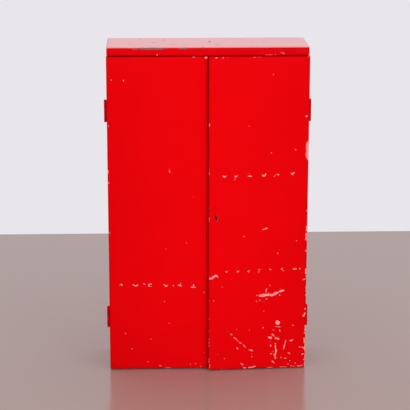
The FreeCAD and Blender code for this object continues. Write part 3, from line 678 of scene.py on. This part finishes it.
left_flecks = [
    [(-10, 250, 1.2), (-15, 240, 1.2)], [(-132, 219, 3.2)], [(-118, 150, 4.2)], [(-252, 118, 2.8)],
    [(-174, 99, 2.2)], [(-233, 68, 3.8)], [(-91, 48, 3.4)], [(-184, 26, 3.2)],
    [(-149, 12, 2.6), (-144, 11, 2.2)], [(-131, 6, 1.8)], [(-190, 4, 1.2)], [(-53, 16, 3.6)],
    [(-37, 17, 2.2)], [(-22, 8, 1.8)], [(-10, 54, 3.2)], [(-228, 693, 2.0)],
    [(-116, 633, 2.3), (-114, 624, 0.6)], [(-26, 605, 1.4)], [(-44, 548, 2.4)], [(-244, 562, 1.6)],
    [(-167, 482, 1.1)], [(-10, 432, 1.2)], [(-65, 405, 2.2)], [(-127, 386, 1.5)],
    [(-285, 904, 4.4)], [(-249, 903, 3.8)]]
left_edge_chips = [
    [(-299, 632, 1.6), (-299, 624, 1.6)], [(-298, 594, 2.0)], [(-296, 438, 1.8)],
    [(-295, 766, 1.5)], [(-44, 971.5, 1.6), (-40, 971.5, 1.0)], [(-6, 970, 3.2)]]
left_worn_edges = [
    [(-300, 5, -0.8), (-300, 480, -1.0), (-300, 970, -2.0)], [(-300, 3, -1.2), (-4, 3, -0.8)],
    [(-4, 3, -1.0), (-4, 970, -1.6)],
    [(-300, 972, -2.0), (-60, 972, -2.0), (-45, 972, -4), (-4, 972, -4)]]
left_marks = thinned(left_weld_chips, 0.65) + thinned(left_flecks, 0.42) + left_edge_chips
door("left", left_low, left_high, left_lips,
     [bolt_slot(left_high.x - 2 * sheet, left_high.x + sheet)],
     left_welds, left_marks, left_worn_edges)

# Right door: the steel pan that carries the lock, hung a few degrees ajar on two hinges at its
# right. Two rows of welds hold its racks. It has a long scuff below the lower row, a round flake
# with a tall scratch under it, and a slanting scratch.
right_low, right_high = shut_box("right_door_pan")
right_lips = (12 * MM, 28 * MM)
free_edge = right_low.x / MM
upper_rack_row = 618
lower_rack_row = 318
right_welds = (weld_row(first=free_edge + 47, pitch=41.4, count=6, height=upper_rack_row)
               + weld_row(first=free_edge + 54, pitch=34.6, count=7, height=lower_rack_row))
key_x, key_z = free_edge + 23, 490
keyhole_radius = 4.5 * MM
keyhole_slot = 4.4 * MM
keyhole_drop = 11.5 * MM
key_rub = [[(key_x, key_z, 5.4), (key_x, key_z - 4, 3.4), (key_x, key_z - 10, 3.0)]]
upper_weld_chips = [
    [(42, 616, 0.8), (45, 613.6, 1.7), (47, 612.6, 2.3), (50, 613.6, 1.7), (52.6, 616, 0.8)],
    [(53, 608, 0.8)],
    [(76.5, 616, 0.8), (79, 614, 1.7), (81, 613, 2.2), (84, 614, 1.6), (87.5, 617.5, 0.8)],
    [(78, 604, 0.7)], [(118, 614, 1.2), (121, 614.5, 2.0), (125, 613.5, 2.4), (131, 612.5, 1.3)],
    [(121, 622, 1.2)],
    [(160, 619, 1.0), (162, 615, 1.6), (165.5, 613, 2.2), (169, 615, 1.8), (171.6, 620, 1.0)],
    [(196, 611.5, 0.8), (200, 616, 1.0)],
    [(206, 619.5, 1.0), (209.5, 616.5, 2.2), (213, 619, 1.0)], [(207, 624, 0.9)],
    [(246, 621.5, 1.2), (252.5, 617, 2.2), (256.5, 621.5, 1.3)], [(255.5, 613, 1.2)]]
lower_weld_chips = [
    [(50, 318.5, 0.8), (54, 316, 1.8), (58, 318.8, 0.8)],
    [(84.5, 318.5, 0.8), (88.6, 316.3, 1.7), (93, 318.3, 0.8)],
    [(117.5, 318, 1.2), (121.5, 315, 3.0), (122.5, 319, 2.3), (125.5, 320, 0.9)],
    [(151.5, 322.5, 0.6), (155.5, 320.5, 1.2), (160, 322.6, 0.6)],
    [(155.5, 319, 0.3), (151, 311.5, 0.3)],
    [(185.5, 322, 0.5), (189, 319.3, 1.2), (193, 322.5, 0.5)],
    [(226, 324, 0.7), (220.5, 320.5, 1.7), (224, 318.5, 1.0), (228.5, 316.2, 0.7)],
    [(258, 320, 1.2), (263.5, 320.3, 3.4), (269, 320.3, 1.2)], [(279, 321, 1.1)],
    [(284, 307.5, 2.1)], [(289.5, 286, 2.2), (297, 288, 1.4)]]
long_scuff = [
    [(149, 240, 2.2)],
    [(158, 238, 3.8), (169, 239, 4.2), (184, 241, 3.8), (194, 238, 3.0), (205, 244, 4.2),
     (214, 248, 1.8), (224, 252, 3.4), (230, 253, 2.3)], [(218, 238, 2.0)],
    [(178, 261, 0.9), (176, 249, 0.9)], [(187, 270, 1.7)], [(212, 259, 1.4)], [(157, 223, 1.5)],
    [(147, 220, 1.2)], [(178, 228, 1.7)], [(171, 222, 1.2)]]
seam_scratch = [[(3, 297, 3.1), (10, 298, 3.1), (21, 306, 2.6), (25, 305, 1.8), (28, 301, 1.5)]]
round_flake = [[(213, 150, 7.0)]]
flake_splinters = [
    [(207, 137, 1.2), (222, 136, 1.2)], [(200, 126, 2.2)], [(219, 128, 1.2), (221, 120, 1.2)],
    [(196, 113, 2.6), (204, 106, 2.0)], [(186, 103, 3.4), (193, 101, 4.6)],
    [(207, 100, 2.8), (216, 97, 3.6)], [(218, 109, 0.9), (217, 103, 0.9)], [(191, 90, 2.3)],
    [(229, 100, 1.4)], [(251, 91, 2.0), (256, 90, 2.3), (262, 94, 1.5)], [(192, 76, 3.4)]]
tall_scratch = [
    [(207, 84, 1.2), (207, 71, 2.3), (209, 60, 2.9), (207, 47, 2.3), (207, 31, 1.5)],
    [(193, 50, 2.0), (202, 47, 1.8), (207, 41, 1.8)], [(200, 57, 1.2), (197, 50, 1.2)],
    [(239, 92, 1.6), (237, 82, 0.9), (233, 64, 1.8)], [(247, 52, 1.2), (251, 48, 1.8)],
    [(215, 34, 2.0)], [(225, 36, 2.0)], [(239, 33, 2.0)], [(253, 25, 2.0)],
    [(198, 25, 2.0), (204, 19, 1.8)]]
slanting_scratch = [
    [(60, 126, 2.4)], [(66, 120, 1.2), (71, 115, 1.2)],
    [(76, 107, 2.3), (82, 104, 2.0), (91, 94, 1.3), (102, 85, 1.2)],
    [(108, 80, 1.2), (115, 72, 1.2)], [(88, 72, 2.3), (93, 66, 2.0)],
    [(125, 64, 1.5), (135, 62, 1.5)], [(133, 51, 2.3)], [(134, 42, 2.0)]]
foot_chips = [
    [(279, 70, 1.8), (284, 68, 1.8)], [(291, 68, 2.0), (296, 63, 2.0)],
    [(289, 45, 2.3), (298, 46, 2.3)], [(245, 17, 2.0), (248, 13, 2.0)],
    [(255, 8, 1.5), (271, 6, 1.8), (289, 7, 1.5), (291, 10, 1.5)], [(270, 16, 1.5)],
    [(284, 14, 1.5)], [(108, 6, 2.3), (122, 6, 2.0), (134, 7, 3.0), (144, 10, 2.6)],
    [(182, 4, 0.9), (204, 5, 0.9)], [(49, 38, 1.7)], [(29, 53, 1.2)], [(20, 27, 1.2)],
    [(3, 22, 2.3), (4, 12, 2.3)], [(101, 21, 2.3), (107, 16, 2.3)]]
right_flecks = [
    [(210, 372, 3.6)], [(42, 269, 1.7)], [(16, 226, 2.3)], [(170, 188, 2.0)], [(126, 129, 3.2)],
    [(86, 132, 2.8)], [(169, 136, 2.6)], [(261, 140, 2.3)], [(241, 275, 2.4)], [(273, 236, 2.4)],
    [(164, 447, 2.6), (177, 451, 2.1)], [(107, 427, 2.0)], [(268, 410, 2.0)], [(260, 691, 3.0)],
    [(187, 684, 2.6)], [(190, 920, 2.0)], [(121, 766, 2.3)], [(2, 489, 1.2), (2, 475, 1.2)]]
top_edge_chips = [[(22, 971.5, 2.4)], [(41, 971.5, 2.4)], [(56, 971, 2.2)]]
hinge_edge_chips = [
    [(292, 793, 2.9)],
    [(297, 716, 1.8), (295, 704, 4.4), (296, 687, 3.2), (295, 676, 4.6), (298, 661, 2.0)],
    [(297, 503, 1.8)], [(298, 453, 2.3), (298, 441, 2.3)], [(297, 432, 2.3), (297, 410, 1.8)],
    [(297, 377, 2.6)], [(297, 338, 1.6)], [(298, 319, 2.1), (298, 304, 2.1)], [(298, 192, 2.9)],
    [(293, 169, 3.6), (298, 178, 2.3)], [(299, 137, 2.2), (299, 121, 2.2)], [(297, 114, 1.8)],
    [(297, 96, 1.8), (297, 82, 1.8)], [(296, 27, 2.3)]]
right_worn_edges = [
    [(300, 3, 1.2), (300, 440, 0.9), (300, 500, -0.8), (300, 700, -0.8), (300, 970, -1.6)],
    [(0, 3, 0.1), (300, 3, 0.4)], [(1, 3, 0.5), (1, 55, -0.9), (1, 280, -1.2), (1, 970, -1.0)],
    [(0, 972, -0.8), (300, 972, -1.4)]]
right_marks = round_flake + seam_scratch
for strokes, share in ((long_scuff, 0.95), (upper_weld_chips, 0.85), (lower_weld_chips, 0.62),
                       (flake_splinters + tall_scratch, 0.74), (slanting_scratch, 0.56),
                       (foot_chips, 0.56), (right_flecks, 0.55), (top_edge_chips, 1),
                       (hinge_edge_chips, 0.85)):
    right_marks += thinned(strokes, share)


def keyhole(y_low, y_high):
    """The round and the slot of the keyhole, cut between two depths."""
    low, high = (Vector((key_x * MM, y, key_z * MM)) for y in (y_low, y_high))
    return [(low, high, (keyhole_radius, keyhole_radius)),
            (low - Vector((keyhole_slot / 2, 0, keyhole_drop)),
             high + Vector((keyhole_slot / 2, 0, 0)))]


door("right", right_low, right_high, right_lips,
     [bolt_slot(right_low.x - sheet, right_low.x + 2 * sheet),
      *keyhole(right_low.y - sheet, right_low.y + 2 * sheet)],
     right_welds, right_marks, right_worn_edges, key_rub)


# Door racks: J-shaped troughs for small tools, folded from strip with a hem turned in along the
# lip, and spot welded through the door faces. Satin red, scraped to the metal along the hem.
rack_sheet = 1.2 * MM
rack_reach = 38 * MM
rack_back = 20 * MM
rack_lip = 14 * MM
rack_fold = 2.2 * MM
hem_fold = 1.5 * MM
hem_depth = 6 * MM
left_rack_ends = (-271 * MM, left_high.x - 25 * MM)
right_rack_ends = (right_low.x + 36 * MM, 271 * MM)


def bent_strip(bm, start, across, moves, fine=6):
    """A strip of sheet from its first edge, by runs (a vector) and bends (a centre, an angle)."""
    last = [bm.verts.new(start), bm.verts.new(start + across)]
    last.append(bm.edges.new(last))
    for move in moves:
        edges = [item for item in last if isinstance(item, bmesh.types.BMEdge)]
        if isinstance(move, Vector):
            drawn = bmesh.ops.extrude_edge_only(bm, edges=edges)["geom"]
            verts = [item for item in drawn if isinstance(item, bmesh.types.BMVert)]
            bmesh.ops.translate(bm, vec=move, verts=verts)
            touched = {edge for vert in verts for edge in vert.link_edges}
            last = verts + [edge for edge in touched if all(vert in verts for vert in edge.verts)]
        else:
            centre, angle = move
            last = bmesh.ops.spin(bm, geom=last, cent=centre, axis=across.normalized(),
                                  dvec=(0, 0, 0), angle=angle, steps=fine,
                                  use_duplicate=False)["geom_last"]


def door_rack(name, ends, row):
    """A rack in its shut place, its outer surface drawn from the welded leaf round to the hem."""
    back = left_low.y + sheet
    foot = row * MM - rack_back / 2
    lip = back + rack_reach
    top = foot + rack_lip
    bm = bmesh.new()
    bent_strip(bm, Vector((ends[0], back, foot + rack_back)), Vector((ends[1] - ends[0], 0, 0)), [
        Vector((0, 0, rack_fold - rack_back)),
        (Vector((0, back + rack_fold, foot + rack_fold)), math.pi / 2),
        Vector((0, rack_reach - 2 * rack_fold, 0)),
        (Vector((0, lip - rack_fold, foot + rack_fold)), math.pi / 2),
        Vector((0, 0, rack_lip - rack_fold - hem_fold)),
        (Vector((0, lip - hem_fold, top - hem_fold)), math.pi),
        Vector((0, 0, hem_fold - hem_depth))])
    bmesh.ops.recalc_face_normals(bm, faces=bm.faces)
    if max(bm.faces, key=lambda face: face.calc_area()).normal.z > 0:
        bmesh.ops.reverse_faces(bm, faces=bm.faces)
    rack = shell_piece(name, bm, rack_sheet)
    hem = [((end / MM, lip / MM - 1, top / MM), -0.2) for end in ends]
    fold = [((end / MM, lip / MM, foot / MM), -1.4) for end in ends]
    write_wear(rack.data, True, edge=[hem, fold])
    return rack


rack_enamel = red_enamel("rack_enamel", field("edge"), stray_chips(rarity=0.72), **inside_finish)
for node, ends, row, body in (
        ("left_rack", left_rack_ends, left_rack_row, "left_door"),
        ("right_lower_rack", right_rack_ends, lower_rack_row, "right_door"),
        ("right_upper_rack", right_rack_ends, upper_rack_row, "right_door")):
    stand_for(door_rack(f"{node}_trough", ends, row), node, body, "red_rack", rack_enamel)


# Hinges: pressed steel butt hinges, each of two leaves rolled round a headed pin and riveted to the
# stile and to the door's lip. They were painted over with the cabinet, so the paint is thin and
# dark, and worn off in patches.
def worn_metal(name, colour, stain, roughness, paint=None, paint_left=0.0):
    """Handled metal, cloudy with use, with what is left of a coat of paint."""
    material, start = new_material(name)
    place = start.node("ShaderNodeTexCoord", {}, {}, "Object")
    grain = noise(start, place, size=2.2 * MM, detail=4.0, seed=2.4)
    clouds = noise(start, place, size=18 * MM, detail=3.0, seed=7.2)
    shown = blend(ramp(clouds * 0.7 + grain * 0.3, 0.40, 0.62), colour, stain)
    gleam = ramp(grain, 0.3, 0.7, roughness - 0.08, roughness + 0.12)
    height = grain * 0.05
    bare = 1.0
    if paint:
        bare = ramp(clouds * 0.5 + grain * 0.5, paint_left, paint_left + 0.03)
        darker_paint = [*(0.6 * part for part in paint[:3]), 1]
        shown = blend(bare, blend(ramp(clouds, 0.35, 0.6), paint, darker_paint), shown)
        gleam = blend_value(bare, 0.46, gleam)
        height = height - bare * 0.12
    finish_surface(start, {"Base Color": shown, "Roughness": gleam, "Metallic": bare,
                           "Specular IOR Level": 0.12 if paint else 0.5}, height, paint_relief)
    return material


ways = {"+z": Matrix(), "+x": Matrix.Rotation(math.pi / 2, 4, "Y"),
        "+y": Matrix.Rotation(-math.pi / 2, 4, "X"), "-y": Matrix.Rotation(math.pi / 2, 4, "X")}


def turned(bm, outline, spot, way="+z", steps=24):
    """A piece turned on a lathe: radii and heights in millimetres, spun, and aimed one way."""
    known = set(bm.verts)
    points = [bm.verts.new((radius * MM, 0, height * MM)) for radius, height in outline]
    lines = [bm.edges.new(pair) for pair in zip(points, points[1:])]
    bmesh.ops.spin(bm, geom=points + lines, cent=(0, 0, 0), axis=(0, 0, 1), dvec=(0, 0, 0),
                   angle=math.tau, steps=steps, use_merge=True, use_duplicate=False)
    bmesh.ops.remove_doubles(bm, verts=[vert for vert in bm.verts if vert not in known],
                             dist=0.001 * MM)
    made = [vert for vert in bm.verts if vert not in known]
    faces = {face for vert in made for face in vert.link_faces}
    bmesh.ops.recalc_face_normals(bm, faces=list(faces))
    bmesh.ops.transform(bm, matrix=Matrix.Translation(spot) @ ways[way], verts=made)


def both_ends(end):
    """The outline of a rod from that of its lower end."""
    return end + [(radius, -height) for radius, height in reversed(end)]


hinge_x = 304.5
hinge_y = -75.85
hinge_heights = {"upper": 808, "lower": 166}
leaf_length = 66
leaf_reach = 22
leaf_sheet = 1.5
leaf_offset = 0.9
leaf_corner = 2.5
roll_radius = 3.25
neck_radius = 2.0
neck_turn = math.acos((leaf_offset + neck_radius) / (roll_radius + neck_radius))
neck_start = (roll_radius + neck_radius) * math.sin(neck_turn)
notch_depth = 0.9
roll_turn = math.radians(315)
knuckles = 5
knuckle_gap = 0.4
rivet_inset = 7
rivet_x = hinge_x - leaf_reach + rivet_inset
rivet_pitch = 24
rivet_hole = 2.1
sink_radius = 3.3
sink_depth = 1.1
pin_outline = both_ends(
    [(0, -34.4), (1.6, -34.3), (2.6, -33.9), (3.0, -33.2), (2.9, -33.0), (2.0, -33.0)])
rivet_outline = [(0, -0.12), (1.8, -0.1), (2.9, 0), (3.1, 0.2), (2.0, 1.1), (2.0, 2.5),
                 (3.6, 2.5), (3.5, 3.0), (2.9, 3.5), (1.6, 3.85), (0, 3.9)]
hinge_red = (0.72, 0.003, 0.02, 1)
bright_zinc = (0.56, 0.56, 0.55, 1)
grey_steel = (0.30, 0.29, 0.28, 1)
dark_steel = (0.12, 0.11, 0.10, 1)
leaf_paint = worn_metal("hinge_paint", grey_steel, dark_steel, 0.5, hinge_red, 0.62)
pin_paint = worn_metal("pin_paint", grey_steel, dark_steel, 0.42, hinge_red, 0.57)
rivet_metal = worn_metal("rivet_steel", grey_steel, dark_steel, 0.45, hinge_red, 0.47)


def hinge_leaf(name, hand, side, height):
    """A plate with rounded corners, every other knuckle rolled from it, and three countersinks.

    The hand is -1 at the left and 1 at the right. The side is 1 on the frame and -1 on the door.
    """
    pitch = leaf_length / knuckles
    steps = [-leaf_length / 2]
    for count in range(knuckles):
        steps += [steps[0] + count * pitch + knuckle_gap / 2,
                  steps[0] + (count + 1) * pitch - knuckle_gap / 2]
    steps.append(leaf_length / 2)
    root = neck_start + notch_depth
    bm = bmesh.new()
    far, near = [[bm.verts.new((x, leaf_offset, z)) for z in steps] for x in (leaf_reach, root)]
    for place in range(len(steps) - 1):
        bm.faces.new((far[place], far[place + 1], near[place + 1], near[place]))
    bmesh.ops.dissolve_verts(bm, verts=far[1:-1])
    for count in range((1 - side) // 2, knuckles, 2):
        low_end, high_end = near[2 * count + 1].co, near[2 * count + 2].co
        strip = bmesh.new()
        bent_strip(strip, low_end, high_end - low_end, [
            Vector((-notch_depth, 0, 0)),
            (Vector((neck_start, leaf_offset + neck_radius, 0)), -neck_turn),
            (Vector((0, 0, 0)), roll_turn)], 10)
        rolled = bpy.data.meshes.new("rolled")
        strip.to_mesh(rolled)
        strip.free()
        bm.from_mesh(rolled)
        bpy.data.meshes.remove(rolled)
    bmesh.ops.remove_doubles(bm, verts=bm.verts, dist=0.01)
    corners = [vert for vert in bm.verts if abs(vert.co.x - leaf_reach) < 0.01]
    rounded(bm, corners, leaf_corner, 4, "VERTICES")
    bmesh.ops.scale(bm, vec=(-hand * MM, side * MM, MM), verts=bm.verts)
    bmesh.ops.translate(bm, vec=(hand * hinge_x * MM, hinge_y * MM, height * MM), verts=bm.verts)
    bmesh.ops.recalc_face_normals(bm, faces=bm.faces)
    leaf = shell_piece(name, bm, leaf_sheet * MM, 0)
    inner_face = hinge_y + side * (leaf_offset - leaf_sheet / 2)
    for z in (height - rivet_pitch, height, height + rivet_pitch):
        near, far = (Vector((hand * rivet_x * MM, (inner_face + side * depth) * MM, z * MM))
                     for depth in (-0.01, sink_depth))
        cut_out(leaf, near, far, (sink_radius * MM, rivet_hole * MM))
    return leaf


frame_rivets = bmesh.new()
for hand, left_or_right in (("left", -1), ("right", 1)):
    door_rivets = bmesh.new()
    for level, height in hinge_heights.items():
        for holder, body, side, rivets in (("frame", "carcass", 1, frame_rivets),
                                           ("door", f"{hand}_door", -1, door_rivets)):
            leaf = hinge_leaf(f"{hand}_{level}_{holder}_wing", left_or_right, side, height)
            stand_for(leaf, f"{hand}_{level}_{holder}_leaf", body, "hinge_steel", leaf_paint)
            head_y = hinge_y + side * (leaf_offset - leaf_sheet / 2)
            for z in (height - rivet_pitch, height, height + rivet_pitch):
                turned(rivets, rivet_outline, Vector((left_or_right * rivet_x, head_y, z)) * MM,
                       "+y" if side > 0 else "-y", 20)
        pin = bmesh.new()
        turned(pin, pin_outline, Vector((left_or_right * hinge_x, hinge_y, height)) * MM)
        stand_for(new_piece(f"{hand}_{level}_headed_pin", pin), f"{hand}_{level}_hinge_pin",
                  "carcass", "pin_steel", pin_paint)
    stand_for(new_piece(f"{hand}_door_rivets", door_rivets), f"{hand}_door_hinge_rivets",
              f"{hand}_door", "rivet_steel", rivet_metal)
stand_for(new_piece("frame_rivets", frame_rivets), "frame_hinge_rivets", "carcass", "rivet_steel",
          rivet_metal)


# Lock: a plain warded cupboard lock, its pressed steel case closed by a riveted cap, screwed behind
# the right door's edge fold. Brass bolt and drill pin, a bright spring strip, and slotted screws in
# the seam.
def edges_along_y(bm):
    return [edge for edge in bm.edges
            if abs(edge.verts[0].co.y - edge.verts[1].co.y) > 0.5 * MM]


def rounded_plate(low, high, corner, rim):
    """A plate with round corners, its edges eased at the rear."""
    plate = block(low, high)
    rounded(plate, edges_along_y(plate), corner, 5)
    rounded(plate, [edge for edge in plate.edges
                    if all(vert.co.y > high.y - 0.1 * MM for vert in edge.verts)], rim, 2)
    return plate


black_steel = (0.04, 0.037, 0.035, 1)
old_brass = (0.62, 0.43, 0.17, 1)
dark_brass = (0.33, 0.21, 0.08, 1)
lock_metal = worn_metal("lock_steel", dark_steel, black_steel, 0.45)
brass = worn_metal("lock_brass", old_brass, dark_brass, 0.35)
bright_metal = worn_metal("bright_steel", bright_zinc, grey_steel, 0.3)
lock_sheet = 1.2 * MM
lock_corner = 3 * MM
lock_front_bend = 1.0 * MM
case_low, case_high = shut_box("lock_case")
case_box = block(case_low, case_high)
rounded(case_box, edges_along_y(case_box), lock_corner, 5)
open_side = [face for face in case_box.faces if face.normal.y > 0.5]
bmesh.ops.delete(case_box, geom=open_side, context="FACES")
rounded(case_box, [edge for edge in case_box.edges
                   if all(vert.co.y < case_low.y + MM for vert in edge.verts)], lock_front_bend, 3)
bmesh.ops.recalc_face_normals(case_box, faces=case_box.faces)
lock_case = shell_piece("lock_pressing", case_box, lock_sheet)
for cut in (*keyhole(case_low.y - MM, case_low.y + 2 * MM),
            bolt_slot(case_low.x - MM, case_low.x + 2 * MM)):
    cut_out(lock_case, *cut)
stand_for(lock_case, "lock_case", "right_door", "lock_steel", lock_metal)

cover_rim = 0.35 * MM
cover_rivet_inset = 5 * MM
cover_rivet_outline = [(1.9, -0.2), (1.9, 0.2), (1.4, 0.55), (0.7, 0.75), (0, 0.8)]
cover_low, cover_high = shut_box("lock_cap")
lock_cover = rounded_plate(cover_low, cover_high, lock_corner, cover_rim)
for x in (cover_low.x + cover_rivet_inset, cover_high.x - cover_rivet_inset):
    for z in (cover_low.z + cover_rivet_inset, cover_high.z - cover_rivet_inset):
        turned(lock_cover, cover_rivet_outline, (x, cover_high.y, z), "+y", 16)
stand_for(new_piece("lock_cover", lock_cover), "lock_cap", "right_door", "lock_steel", lock_metal)

pin_low, pin_high = shut_box("drill_pin")
pin_run = (pin_high.y - pin_low.y) / MM
drill_pin = bmesh.new()
turned(drill_pin, [(0, 0), (1.1, 0), (1.5, 0.4), (1.5, pin_run - 0.8), (1.8, pin_run),
                   (0, pin_run)], (key_x * MM, pin_low.y, key_z * MM), "+y", 20)
stand_for(new_piece("turned_drill_pin", drill_pin), "drill_pin", "right_door", "lock_brass", brass)

talon_radius = 5 * MM
bolt_ease = 0.5 * MM
bolt_bar = block(bolt_low, bolt_high)
rounded(bolt_bar, bolt_bar.edges, bolt_ease, 2)
brass_bolt = new_piece("brass_bolt", bolt_bar)
cut_out(brass_bolt, Vector((key_x * MM, bolt_low.y - MM, bolt_low.z)),
        Vector((key_x * MM, bolt_high.y + MM, bolt_low.z)), (talon_radius, talon_radius))
stand_for(brass_bolt, "lock_bolt", "lock_throw", "lock_brass", brass)

spring_low, spring_high = shut_box("bolt_spring")
spring_sheet = 0.6 * MM
spring_seat = 6 * MM
spring_play = 0.4 * MM
spring_rise = spring_high.z - spring_low.z - spring_sheet
spring = bmesh.new()
bent_strip(
    spring, Vector((spring_high.x, bolt_low.y + spring_play, spring_low.z + spring_sheet / 2)),
    Vector((0, bolt_high.y - bolt_low.y - 2 * spring_play, 0)), [
        Vector((-spring_seat, 0, 0)),
        Vector((spring_low.x - spring_high.x + spring_seat, 0, spring_rise))])
bmesh.ops.recalc_face_normals(spring, faces=spring.faces)
stand_for(shell_piece("spring_strip", spring, spring_sheet, 0), "bolt_spring", "lock_throw",
          "bright_steel", bright_metal)

screw_low, screw_high = shut_box("lock_screws")
head_radius = (screw_high.y - screw_low.y) / 2
head = head_radius / MM
screw_run = (screw_high.x - screw_low.x) / MM
screw_slot_half = Vector((0.5, 3.5, 0.4)) * MM
screw_spots = [Vector((screw_low.x, (screw_low.y + screw_high.y) / 2, z))
               for z in (screw_low.z + head_radius, screw_high.z - head_radius)]
screws = bmesh.new()
for spot in screw_spots:
    turned(screws, [(0, 0), (2.0, 0.05), (head, 0.5), (head, 0.8), (1.6, 0.8),
                    (1.6, screw_run - 0.5), (1.1, screw_run), (0, screw_run)], spot, "+x", 20)
slotted_screws = new_piece("slotted_screws", screws)
for spot in screw_spots:
    cut_out(slotted_screws, spot - screw_slot_half, spot + screw_slot_half)
stand_for(slotted_screws, "lock_screws", "right_door", "bright_steel", bright_metal)

# Slide bolts: a turned rod with a finger knob, running in two straps pressed over it on a base
# plate. Zinc plated, and riveted inside the left door's free edge, one to shoot into the head rail
# and one into the sill.
zinc = worn_metal("bolt_zinc", bright_zinc, grey_steel, 0.35)
rod_x = left_high.x / MM - 12
rod_y = -68.5
rod_radius = 3.0
knob_offset = 7
plate_half = 10
plate_length = 66
plate_sheet = 1.2
plate_face = -76.3
plate_corner = 4 * MM
plate_rim = 0.3 * MM
strap_length = 17
strap_sheet = 1.4
strap_radius = rod_radius + 0.1 + strap_sheet / 2
strap_foot = 8.6
strap_bend = 1
strap_drop = plate_face + strap_sheet / 2 - rod_y
strap_flat = Vector((strap_foot - strap_radius - strap_bend, 0, 0))
strap_rise = Vector((0, strap_drop + strap_bend, 0))
left_bend, right_bend = (
    Vector((rod_x + way * (strap_radius + strap_bend), rod_y + strap_drop + strap_bend, 0))
    for way in (-1, 1))
strap_moves = [
    strap_flat, (left_bend, math.pi / 2), -strap_rise, (Vector((rod_x, rod_y, 0)), -math.pi),
    strap_rise, (right_bend, math.pi / 2), strap_flat]
rod_half = plate_length / 2 + 1
rod_outline = both_ends([(0, -rod_half), (2.2, -rod_half), (rod_radius, 0.9 - rod_half)])
knob_outline = [(2.6, 1.5), (2.6, 3.0), (2.1, 3.8), (2.1, 4.6), (2.9, 5.4), (3.5, 6.2), (3.5, 7.6),
                (3.1, 8.4), (2.2, 8.85), (0, 9.0)]
plate_rivet_outline = [(0, 0), (2.4, 0), (2.0, 0.4), (2.0, 2.2), (3.6, 2.2), (3.5, 2.7),
                       (2.9, 3.2), (1.6, 3.5), (0, 3.6)]
plate_rivets = bmesh.new()
for level, way in (("top", 1), ("bottom", -1)):
    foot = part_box(f"{level}_bolt_guide")[0].z / MM
    middle = foot + plate_length / 2
    base = rounded_plate(Vector((rod_x - plate_half, plate_face - plate_sheet, foot)) * MM,
                         Vector((rod_x + plate_half, plate_face, foot + plate_length)) * MM,
                         plate_corner, plate_rim)
    straps = bmesh.new()
    for start in (foot, foot + plate_length - strap_length):
        bent_strip(straps, Vector((rod_x - strap_foot, rod_y + strap_drop, start)),
                   Vector((0, 0, strap_length)), strap_moves, 8)
    bmesh.ops.scale(straps, vec=(MM, MM, MM), verts=straps.verts)
    bmesh.ops.recalc_face_normals(straps, faces=straps.faces)
    strap_shell = shell_piece("straps", straps, strap_sheet * MM, 0)
    base.from_mesh(strap_shell.data)
    bpy.data.objects.remove(strap_shell)
    stand_for(new_piece(f"{level}_bolt_plate", base), f"{level}_bolt_guide", "left_door",
              "slide_bolt_steel", zinc)
    rod = bmesh.new()
    turned(rod, rod_outline, Vector((rod_x, rod_y, middle)) * MM)
    turned(rod, knob_outline, Vector((rod_x, rod_y, middle - way * knob_offset)) * MM, "+y")
    stand_for(new_piece(f"{level}_rod", rod), f"{level}_bolt", f"{level}_slide_bolt",
              "slide_bolt_steel", zinc)
    for height in (middle - rivet_pitch / 2, middle + rivet_pitch / 2):
        turned(plate_rivets, plate_rivet_outline, Vector((rod_x, plate_face, height)) * MM,
               "-y", 20)
stand_for(new_piece("guide_rivets", plate_rivets), "bolt_guide_rivets", "left_door",
          "rivet_steel", zinc)
